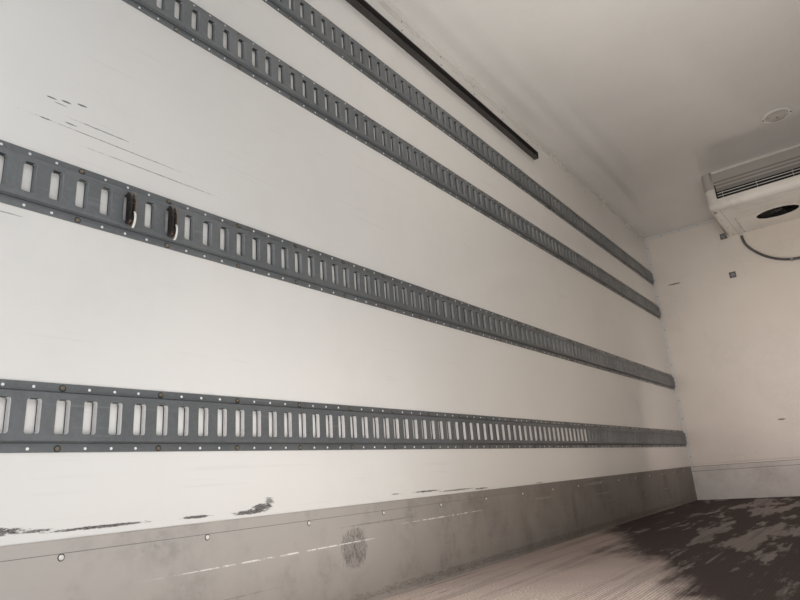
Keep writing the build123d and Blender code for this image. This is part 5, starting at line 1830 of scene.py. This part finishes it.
@dataclass
class SwingDoors:
    """Both rear doors, folded open along the sides: edged leaves, finned seals, lock rods and hinge bolts.

    Shapes are worked out for the left door shut, then turned a quarter about the hinge pin, which is where
    the solids rest, and mirrored for the right door.
    """

    outer_x: float = -1.163
    inner_x: float = -0.012
    low: float = 0.3295
    high: float = 2.4755
    thickness: float = 0.080
    pin: tuple = (-1.3256, -2.9612)
    rods: tuple = (0.330, 0.880)
    rod_radius: float = 0.0135
    rod_stand: float = 0.030
    rod_low: float = 0.2625
    rod_high: float = 2.5425
    cam_height: float = 0.032
    bearings: tuple = (0.120, 0.620, 2.020)
    bearing_height: float = 0.044
    handle_height: float = 0.975
    hinges: tuple = (0.200, 1.055, 1.910)
    strap_height: float = 0.064

    @property
    def rod_y(self) -> float:
        """Y of the lock rods' middles."""
        return PLAN.rear - self.rod_stand

    def opened(self, patch: Patch) -> Patch:
        """A quarter turn about the pin: x and y about it become minus y and x."""
        pin = np.array([*self.pin, 0.0])
        x, y, z = (patch[0] - pin).T
        return rows(-y, x, z) + pin, patch[1]

    def outline(self) -> np.ndarray:
        """Corners of the leaf's edge in the middle of its thickness, counter-clockwise seen along -Y."""
        y = PLAN.rear + self.thickness / 2
        return np.array([(self.outer_x, y, self.low), (self.outer_x, y, self.high), (self.inner_x, y, self.high),
                         (self.inner_x, y, self.low)])

    def leaf(self) -> Stock:
        """Skin block, aluminium edging of U section and its rivets."""
        stock, half, arm, sheet = Stock(), self.thickness / 2 - 0.0013, 0.030, 0.0018
        front, back = PLAN.rear + 0.0013, PLAN.rear + self.thickness - 0.0013
        stock.block((self.outer_x + 0.001, front + 0.0017, self.low + 0.001),
                    (self.inner_x - 0.001, back - 0.0017, self.high - 0.001), 0.001)
        section = np.array([(0, -half), (arm, -half), (arm, -half + sheet), (sheet, -half + sheet),
                            (sheet, half - sheet), (arm, half - sheet), (arm, half), (0, half)])
        stock.add(sweep_patch(section, self.outline(), FORTH, True), 1)
        spots = [(x, z) for x in np.arange(self.outer_x + 0.05, self.inner_x - 0.03, 0.1)
                 for z in (self.low + 0.015, self.high - 0.015)]
        spots += [(x, z) for z in np.arange(self.low + 0.05, self.high - 0.03, 0.1)
                  for x in (self.outer_x + 0.015, self.inner_x - 0.015)]
        x, z = np.array(spots).T
        for y, axis in ((front, BACK), (back, FORTH)):
            stock.repeat(dome_patch(0.0040, 0.0012, axis), rows(x, y, z), 1)
        return stock

    def seal(self) -> Stock:
        """Rubber seal round the leaf near its inner face: a base strip with three fins."""
        base = self.thickness / 2 - 0.030
        fins = [(0.0, base), (-0.0016, base)]
        for middle in (base + 0.005, base + 0.015, base + 0.025):
            fins += [(-0.0016, middle - 0.0028), (-0.0052, middle - 0.0014), (-0.0060, middle),
                     (-0.0052, middle + 0.0014), (-0.0016, middle + 0.0028)]
        fins += [(-0.0016, base + 0.0298), (0.0, base + 0.0298)]
        return Stock().add(sweep_patch(np.array(fins[::-1]), self.outline(), FORTH, True))

    def cam(self, x: float, z: float) -> Patch:
        """Lock cam: a disc with a hooked nose, cut from plate.

        Args:
            x: Middle of the rod.
            z: Foot of the cam.

        Returns:
            A closed patch.
        """
        turn = np.radians(np.linspace(-60, 240, 14))
        nose = [(-0.0175, -0.0080), (-0.0150, -0.0135), (0.0150, -0.0135), (0.0175, -0.0080)]
        out, back = np.vstack([rows(0.0168 * np.cos(turn), 0.0130 * np.sin(turn)), nose]).T
        up, size = np.array([(0.0, 0.94), (0.0014, 1.0), (self.cam_height - 0.0014, 1.0),
                             (self.cam_height, 0.94)]).T[..., None]
        return ring_patch(rows(x + out * size, self.rod_y + back * size, z + up), True)

    def bearing(self, stock: Stock, x: float, z: float) -> None:
        """Rod bearing: a base plate on the leaf, a saddle bent over the rod and two bolts.

        Args:
            stock: Stock that takes the shapes.
            x: Middle of the rod.
            z: Foot of the bearing.
        """
        turn, face, top = np.linspace(0, math.pi, 12), PLAN.rear - 0.0040, z + self.bearing_height
        outer, inner = (np.vstack([(radius, self.rod_stand), radius * rows(np.cos(turn), -np.sin(turn)),
                                   (-radius, self.rod_stand)]) + (x, self.rod_y)
                        for radius in (self.rod_radius + 0.0040, self.rod_radius + 0.0006))
        out, back = np.vstack([outer, inner[::-1]]).T
        stock.add(ring_patch(rows(out, back, np.array([[top], [z]]))))
        pair = np.stack([outer, inner])
        stock.add(flipped(grid_patch(rows(pair[..., 0], pair[..., 1], top))))
        stock.add(grid_patch(rows(pair[..., 0], pair[..., 1], z)))
        stock.block((x - 0.035, face, z), (x + 0.035, PLAN.rear, top), 0.0015)
        for side in SIDES:
            stock.add(bolt_patch(0.0062, 0.0055, BACK, 0.3), 1, (x + side * 0.0265, face, (z + top) / 2))

    def handle(self, stock: Stock, x: float, z: float) -> None:
        """Lever from the rod to its catch: a flat bar with a round eye, a grip and a hasp.

        Args:
            stock: Stock that takes the shapes.
            x: Middle of the rod.
            z: Middle of the lever.
        """
        y, rear, catch = self.rod_y, PLAN.rear, x - 0.245
        path = [(x + 0.016, y - 0.0175, z), (x - 0.03, y - 0.0175, z), (x - 0.07, y - 0.010, z),
                (x - 0.258, y - 0.010, z)]
        stock.sweep(rounded_outline(0.0078, 0.029, 0.0030, 2), path)
        stock.rod((x, y, z - 0.025), (x, y, z + 0.025), 0.0185, 0, 20)
        stock.block((x - 0.255, y - 0.0055, z - 0.013), (x - 0.180, y - 0.0015, z + 0.013), 0.0018, 2, 2)
        stock.block((catch - 0.028, rear - 0.0045, z - 0.040), (catch + 0.028, rear, z + 0.040), 0.0020, 0, 2)
        for low in (z + 0.0155, z - 0.0215):
            stock.block((catch - 0.010, y - 0.001, low), (catch + 0.010, rear - 0.003, low + 0.006), 0.0016)
        stock.rod((catch, y - 0.0005, z - 0.024), (catch, y - 0.0005, z + 0.024), 0.0032)
        for side in SIDES:
            stock.add(bolt_patch(0.0055, 0.005, BACK), 1, (catch + side * 0.018, rear - 0.0045, z - side * 0.031))

    def gear(self) -> Stock:
        """Lock rods with their cams, bearings and handles."""
        stock, y = Stock(), self.rod_y
        for x in (self.outer_x + offset for offset in self.rods):
            stock.rod((x, y, self.rod_low), (x, y, self.rod_high), self.rod_radius, 0, 24)
            for z in (self.rod_low, self.rod_high - self.cam_height):
                stock.add(self.cam(x, z))
            for height in self.bearings:
                self.bearing(stock, x, self.low + height)
            self.handle(stock, x, self.low + self.handle_height)
        return stock

    def hinge_bolts(self) -> Stock:
        """Eight bolts through each hinge strap's leaf."""
        spots = [(self.outer_x + along, PLAN.rear - 0.008, self.low + hinge + self.strap_height * up)
                 for hinge in self.hinges for along in (0.055, 0.110, 0.165, 0.205) for up in (0.28, 0.72)]
        return Stock().repeat(bolt_patch(0.0068, 0.0060, BACK, 0.2), spots)

    def build(self) -> None:
        """Makes each door's leaf, seal, lock gear and hinge bolts on the door's body."""
        parts = [stock.changed(self.opened) for stock in (self.leaf(), self.seal(), self.gear(), self.hinge_bolts())]
        for side in ("left", "right"):
            leaf, seal, gear, bolts = parts if side == "left" else [stock.other_side() for stock in parts]
            body = f"{side}_door"
            leaf.piece(f"door_leaf_{side}", body, ("door_skin", "aluminium"), "panel_skin", f"door_{side}")
            seal.piece(f"door_seal_{side}", body, ("seal_rubber",), "seal_rubber", f"door_gasket_{side}")
            gear.piece(f"lock_rods_{side}", body, ("zinc_hardware", "bolt_zinc", "seal_rubber"), "zinc_hardware",
                       f"lock_gear_{side}")
            bolts.piece(f"hinge_bolts_{side}", body, ("bolt_zinc",), "zinc_hardware")


@dataclass
class OuterRails:
    """Rivets of the aluminium rails and corner posts, a drip rail over the doorway and clips under the floor."""

    pitch: float = 0.10
    levels: tuple = (2.4960, 2.6250, 0.1680, 0.3020)
    post_inset: tuple = (0.020, 0.072)
    sill_x: float = -0.4318

    def rivets(self) -> None:
        """Rows of rivets along the rails on three sides and up the corner posts."""
        outwards, forwards = dome_patch(0.0052, 0.0020, (-1, 0, 0)), dome_patch(0.0052, 0.0020, FORTH)
        along = np.arange(PLAN.frame_front + 0.06, PLAN.front_skin - 0.04, self.pitch)
        across = np.arange(-1.25, 1.251, self.pitch)
        upright = np.arange(0.37, 2.46, self.pitch)
        side = Stock()
        for z in self.levels:
            side.repeat(outwards, rows(-PLAN.body_half, along, z))
        for inset in self.post_inset:
            side.repeat(outwards, rows(-PLAN.body_half, PLAN.front_skin - inset, upright))
            side.repeat(forwards, rows(inset - PLAN.body_half, PLAN.front_skin, upright))
        stock = side.take(side.other_side())
        for z in self.levels:
            stock.repeat(forwards, rows(across, PLAN.front_skin, z))
        stock.piece("outer_rivets", "box", ("bolt_zinc",), "aluminium")

    def frame_details(self) -> None:
        """Drip rail above the doorway and a ribbed sill plate."""
        stock = Stock()
        drip = np.array([(0, 0), (-0.016, -0.004), (-0.018, -0.001), (-0.003, 0.004), (0, 0.012)])
        stock.sweep(drip, [(x, PLAN.rear, 2.560) for x in (-1.23, 1.23)])
        for y in np.linspace(PLAN.rear + 0.012, PLAN.frame_front - 0.012, 9):
            stock.sweep(rounded_outline(0.005, 0.0022, 0.0010), [(x, y, PLAN.floor) for x in (-1.168, 1.168)])
        stock.piece("frame_details", "box", ("frame_steel",), "frame_steel")

    def clips(self) -> None:
        """Angle clips and bolts that hold each crossmember to the long sills."""
        clip, side = Stock(), Stock()
        clip.block((0, -0.0055, 0.078), (0.052, -0.0005, 0.168), 0.0012)
        clip.block((0, -0.0480, 0.078), (0.0050, -0.0050, 0.124), 0.0012)
        clip.add(bolt_patch(0.0072, 0.0068, BACK), 1, (0.028, -0.0055, 0.150))
        clip.add(bolt_patch(0.0072, 0.0068, RIGHT), 1, (0.0050, -0.028, 0.100))
        for y in PLAN.station(0.266 + PLAN.rivet_pitch * np.arange(17)):
            side.take(clip, (self.sill_x, y, 0))
        side.take(side.other_side()).piece("sill_clips", "box", ("underframe_paint", "bolt_zinc"), "underframe_paint")

    def build(self) -> None:
        """Makes every outer detail."""
        self.rivets()
        self.frame_details()
        self.clips()


@dataclass
class NoseUnit:
    """Cooling unit on the front wall: rounded housing, louvres, fan guards, condenser, motors and fans."""

    half: float = 0.860
    base: float = 1.9175
    height: float = 0.680
    depth: float = 0.422
    outline_share: tuple = ((0, 0), (0.86, 0), (1, 0.1), (1, 0.82), (0.74, 1), (0, 1))
    corner: float = 0.007
    fan_x: float = 0.370
    fan_z: float = 2.2295
    hole: float = 0.236
    cell: float = 0.2440
    guard_rings: tuple = (0.205, 0.168, 0.131, 0.094, 0.057)
    coil_back: float = 2.6132
    coil_depth: float = 0.070
    margin: float = 0.045
    motor_tip: float = 2.9682

    @property
    def face(self) -> float:
        """Y of the housing's front."""
        return PLAN.front_skin + self.depth

    def side_outline(self) -> np.ndarray:
        """The outline's corners as (y, z)."""
        return np.array(self.outline_share) * (self.depth, self.height) + (PLAN.front_skin, self.base)

    def section(self) -> np.ndarray:
        """Side outline as (y, z), its front corners rounded: each corner is four points of a quadratic curve."""
        raw = self.side_outline()
        points = [raw[0]]
        for before, here, after in zip(raw, raw[1:], raw[2:]):
            back, on = (here + unit(other - here) * self.corner for other in (before, after))
            points += [(1 - t) ** 2 * back + 2 * t * (1 - t) * here + t * t * on for t in (0.0, 0.33, 0.67, 1.0)]
        return np.array(points + [raw[-1]])

    def housing(self) -> None:
        """Shell without the front face, the front face with its two openings, and end faces with soft edges."""
        section, half, rings = self.section(), self.half, []
        centre, columns = section.mean(0), len(section)
        for x, shrink in ((-half, 0.014), (-half + 0.002, 0.004), (-half + 0.006, 0.0), (half - 0.006, 0.0),
                          (half - 0.002, 0.004), (half, 0.014)):
            ring = centre + (section - centre) * (1 - shrink)
            ring[[0, -1], 0] = PLAN.front_skin
            rings.append(rows(x, *ring.T))
        points, (quads,) = grid_patch(np.stack(rings))
        on_face = np.abs(section[:, 0] - self.face) < 1e-6
        front = np.flatnonzero(on_face[:-1] & on_face[1:])
        line, column = np.divmod(quads[:, 0], columns)
        stock = Stock().add(flipped((points, [quads[~(np.isin(column, front) & (line == 2))]])))
        end = np.arange(columns)
        stock.add((points, [end[None], (end + 5 * columns)[::-1][None]]))
        low, high = section[front[0]:front[0] + 2, 1]
        inner, outer = self.fan_x - self.cell, self.fan_x + self.cell
        for ends in ((-half + 0.006, -outer), (-inner, inner), (outer, half - 0.006)):
            stock.add(flipped(grid_patch(rows(np.array(ends)[:, None], self.face, [low, high]))))
        ray = circle(64, 0.5)
        square = ray / np.abs(ray).max(1, keepdims=True)
        square = square * rows(self.cell, np.where(square[:, 1] > 0, high - self.fan_z, self.fan_z - low))
        lip = [(self.hole + 0.001, 0.0), (self.hole, -0.002), (self.hole - 0.001, -0.030), (self.hole + 0.004, -0.060)]
        for side in SIDES:
            plan = np.stack([square, ray * (self.hole + 0.001)]) + (side * self.fan_x, self.fan_z)
            stock.add(ring_patch(rows(plan[..., 0], self.face, plan[..., 1])))
            stock.turned(lip, 64, (side * self.fan_x, self.face, self.fan_z), FORTH)
        self.louvres(stock)
        self.trim(stock)
        stock.piece("nose_unit_shell", "box", ("unit_white", "dark_gap", "bolt_zinc"), "unit_white",
                    "nose_unit_housing")

    def louvres(self, stock: Stock) -> None:
        """Louvres on both ends and on the sloping top.

        Args:
            stock: Stock that takes the shapes.
        """
        hood = np.array([(0.0, -0.010), (0.0030, -0.009), (0.0070, -0.004), (0.0080, 0.001), (0.0, 0.003)])
        for z in self.base + 0.120 + 0.042 * np.arange(9):
            path = [(-self.half, PLAN.front_skin + y, z) for y in (0.07, 0.30)]
            stock.both_sides(sweep_patch(hood, path, UP))
        low, high = self.side_outline()[3:5]
        run = high - low
        out = unit(np.array([run[1], -run[0]]))
        for share in (0.2, 0.38, 0.56, 0.74):
            place = low + run * share
            y, z = np.array([place, place + out * 0.006, place - unit(run) * 0.014]).T
            stock.both_sides(ring_patch(rows(np.array([[-0.66], [-0.12]]), y, z), True))

    def trim(self, stock: Stock) -> None:
        """Panel joints, latches and screws.

        Args:
            stock: Stock that takes the shapes.
        """
        y = self.face
        for x in (-0.745, 0.0, 0.745):
            joint = [(x, y + 0.0002, self.base + z) for z in (0.075, 0.55)]
            stock.sweep(rounded_outline(0.0022, 0.0008, 0.0002), joint, FORTH, 1)
        for x in (-0.80, 0.80):
            for z in (self.base + 0.11, self.base + 0.50):
                stock.block((x - 0.014, y, z - 0.030), (x + 0.014, y + 0.0075, z + 0.030), 0.003, 2, 2)
                stock.block((x - 0.008, y + 0.0005, z - 0.012), (x + 0.008, y + 0.0079, z + 0.018), 0.0022, 2, 2)
        screws = rows(np.arange(-0.83, 0.84, 0.1185), PLAN.front_skin + 0.20, self.base + self.height)
        stock.repeat(dome_patch(0.0042, 0.0018, UP), screws, 2)

    def guards(self) -> None:
        """Round wire guards: a rim, five rings, eight spokes and a middle disc on each opening."""
        stock, rim = Stock(), self.hole + 0.007
        for side in SIDES:
            place = np.array([side * self.fan_x, self.face, self.fan_z])
            for radius, wire in ((rim, 0.0036), *((ring, 0.0019) for ring in self.guard_rings)):
                across, up = radius * circle(64).T
                stock.add(sweep_patch(wire * circle(8), place + rows(across, 0.0042, up), FORTH, True))
            for across, up in circle(8):
                start, stop = (place + (across * reach, 0.0022, up * reach) for reach in (0.02, rim))
                stock.rod(start, stop, 0.0022, 0, 8)
            stock.turned([(0, 0.001), (0.040, 0.001), (0.042, 0.003), (0.040, 0.0062), (0, 0.0076)], 32, place, FORTH)
        stock.piece("fan_guard_wires", "box", ("grille_wire",), "grille_wire", "fan_guards")

    def core(self) -> None:
        """Condenser block with its frame, and two motors on their shafts."""
        stock, half = Stock(), self.half - 0.005
        low, high = self.base + self.margin, self.base + self.height - self.margin
        near, far = self.coil_back, self.coil_back + self.coil_depth
        length = self.motor_tip - 0.056 - far
        stock.block((-half + 0.03, near, low + 0.012), (half - 0.03, far - 0.002, high - 0.012), 0.002)
        for side, z in zip(SIDES, (low, high)):
            stock.block((side * half, near, low), (side * (half - 0.030), far, high), 0.002, 1)
            stock.block((-half, near, z), (half, far, z - side * 0.012), 0.002, 1)
            foot = np.array([side * self.fan_x, far, self.fan_z])
            stock.turned([(0, 0), (0.044, 0), (0.052, 0.004), (0.055, 0.012), (0.055, length - 0.016),
                          (0.050, length - 0.006), (0.030, length), (0, length)], 32, foot, FORTH, 2)
            stock.rod(foot + (0, length - 0.002, 0), (foot[0], self.motor_tip - 0.001, foot[2]), 0.0069, 1, 14)
            for x, z in circle(4, 0.5):
                stock.rod(foot + (0.050 * x, 0.05, 0.050 * z), foot + (0.190 * x, 0.002, 0.190 * z), 0.0045, 1, 8)
        stock.piece("condenser_core", "box", ("coil_fins", "aluminium", "black_and_painted_shade"), "coil_fins", "condenser")

    def build(self) -> None:
        """Makes the whole nose unit, with both condenser fans on their own bodies."""
        self.housing()
        self.guards()
        self.core()
        fan = AxialFan(0.062, 0.044, 0.224, 0.090, 0.140)
        for side, name in zip(SIDES, ("left", "right")):
            place = (side * self.fan_x, self.motor_tip - 0.022, self.fan_z)
            fan.build(f"condenser_fan_blades_{name}", f"condenser_fan_{name}", place, FORTH)


@dataclass
class RearFittings:
    """Dock bumpers, tail lamps and marker lamps."""

    bumper_x: float = 0.560
    bumper_size: tuple = (0.240, 0.070, 0.105)
    bumper_low: float = 0.137
    lamp_xs: tuple = (1.010, 1.140)
    lamp_z: float = 0.222
    lamp_radius: float = 0.048
    marker_size: tuple = (0.110, 0.016, 0.028)
    marker_xs: tuple = (-1.200, -0.180, 0.0, 0.180, 1.200)

    def bumpers(self) -> None:
        """Rubber blocks with rounded edges and two sunk bolts."""
        stock, z = Stock(), self.bumper_low
        wide, deep, tall = self.bumper_size
        for x in (-self.bumper_x, self.bumper_x):
            stock.block((x - wide / 2, PLAN.rear - deep, z), (x + wide / 2, PLAN.rear, z + tall), 0.009, 0, 3)
            for bolt in (-0.065, 0.065):
                place = (x + bolt, PLAN.rear - deep + 0.0003, z + tall / 2)
                stock.turned([(0, -0.0006), (0.017, -0.0006), (0.017, 0.0), (0, 0.0)], 24, place, BACK, 1)
                stock.turned([(0, -0.004), (0.0085, -0.004), (0.0085, -0.0002), (0, -0.0002)], 6, place, BACK, 2)
        stock.piece("dock_bumper_blocks", "box", ("bumper_rubber", "dark_gap", "bolt_zinc"), "bumper_rubber",
                    "dock_bumpers")

    def tail_lamps(self) -> None:
        """Round lamps: a black ring, a domed lens with a stepped edge."""
        stock, r = Stock(), self.lamp_radius
        ring = [(r - 0.008, 0), (r, 0), (r, 0.006), (r - 0.003, 0.009), (r - 0.007, 0.0095), (r - 0.008, 0.006),
                (r - 0.008, 0)]
        lens = [(0, 0.003), (r - 0.0085, 0.003), (r - 0.0085, 0.008), (r - 0.012, 0.0105), (r - 0.020, 0.0125),
                (0.4 * r, 0.0138), (0, 0.0140)]
        for side in SIDES:
            for x, finish in zip(self.lamp_xs, (1, 2)):
                place = (side * x, PLAN.rear, self.lamp_z)
                stock.turned(ring, 40, place, BACK)
                stock.turned(lens, 40, place, BACK, finish)
        stock.piece("round_tail_lamps", "box", ("seal_rubber", "red_lens", "amber_lens"), "red_lens", "tail_lamps")

    def markers(self, end: str, xs: tuple, y: float, way: int, lens: str) -> None:
        """Small oblong lamps in a row: a dark base and a rounded lens with a screw at each end.

        Args:
            end: Which end of the body they are on.
            xs: Their middles.
            y: Face that they stand on.
            way: Direction they look along Y.
            lens: Finish of the lens.
        """
        stock, top = Stock(), PLAN.roof - 0.018
        wide, deep, tall = self.marker_size
        for x in xs:
            stock.block((x - wide / 2, y, top - tall), (x + wide / 2, y + way * 0.005, top), 0.002)
            stock.block((x - wide / 2 + 0.014, y + way * 0.004, top - tall + 0.003),
                        (x + wide / 2 - 0.014, y + way * deep, top - 0.003), 0.0055, 1, 3)
            for side in SIDES:
                place = (x + side * (wide / 2 - 0.007), y + way * 0.005, top - tall / 2)
                stock.add(dome_patch(0.0032, 0.0016, (0, way, 0)), 2, place)
        stock.piece(f"{end}_marker_lamps", "box", ("seal_rubber", lens, "bolt_zinc"), lens, f"{end}_markers")

    def build(self) -> None:
        """Makes the fittings of the rear sill and header, and the front markers."""
        self.bumpers()
        self.tail_lamps()
        self.markers("rear", self.marker_xs, PLAN.rear, -1, "red_lens")
        self.markers("front", self.marker_xs[::4], PLAN.front_skin, 1, "amber_lens")


def main() -> None:
    """Loads the solids, dresses them and builds each sub-assembly in order."""
    logging.basicConfig(level=logging.INFO, format="%(name)s %(message)s")
    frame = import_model()
    Studio().build()
    DrainHose().build()
    CargoRail().build()
    SpringFitting().build()
    Linings().build()
    CeilingLamp().build()
    Evaporator().build()
    SwingDoors().build()
    OuterRails().build()
    NoseUnit().build()
    RearFittings().build()
    for name, node in frame["nodes"].items():
        node.data.materials.clear()
        node.data.materials.append(coat(NODE_FINISH[name]))


if __name__ == "__main__":
    main()
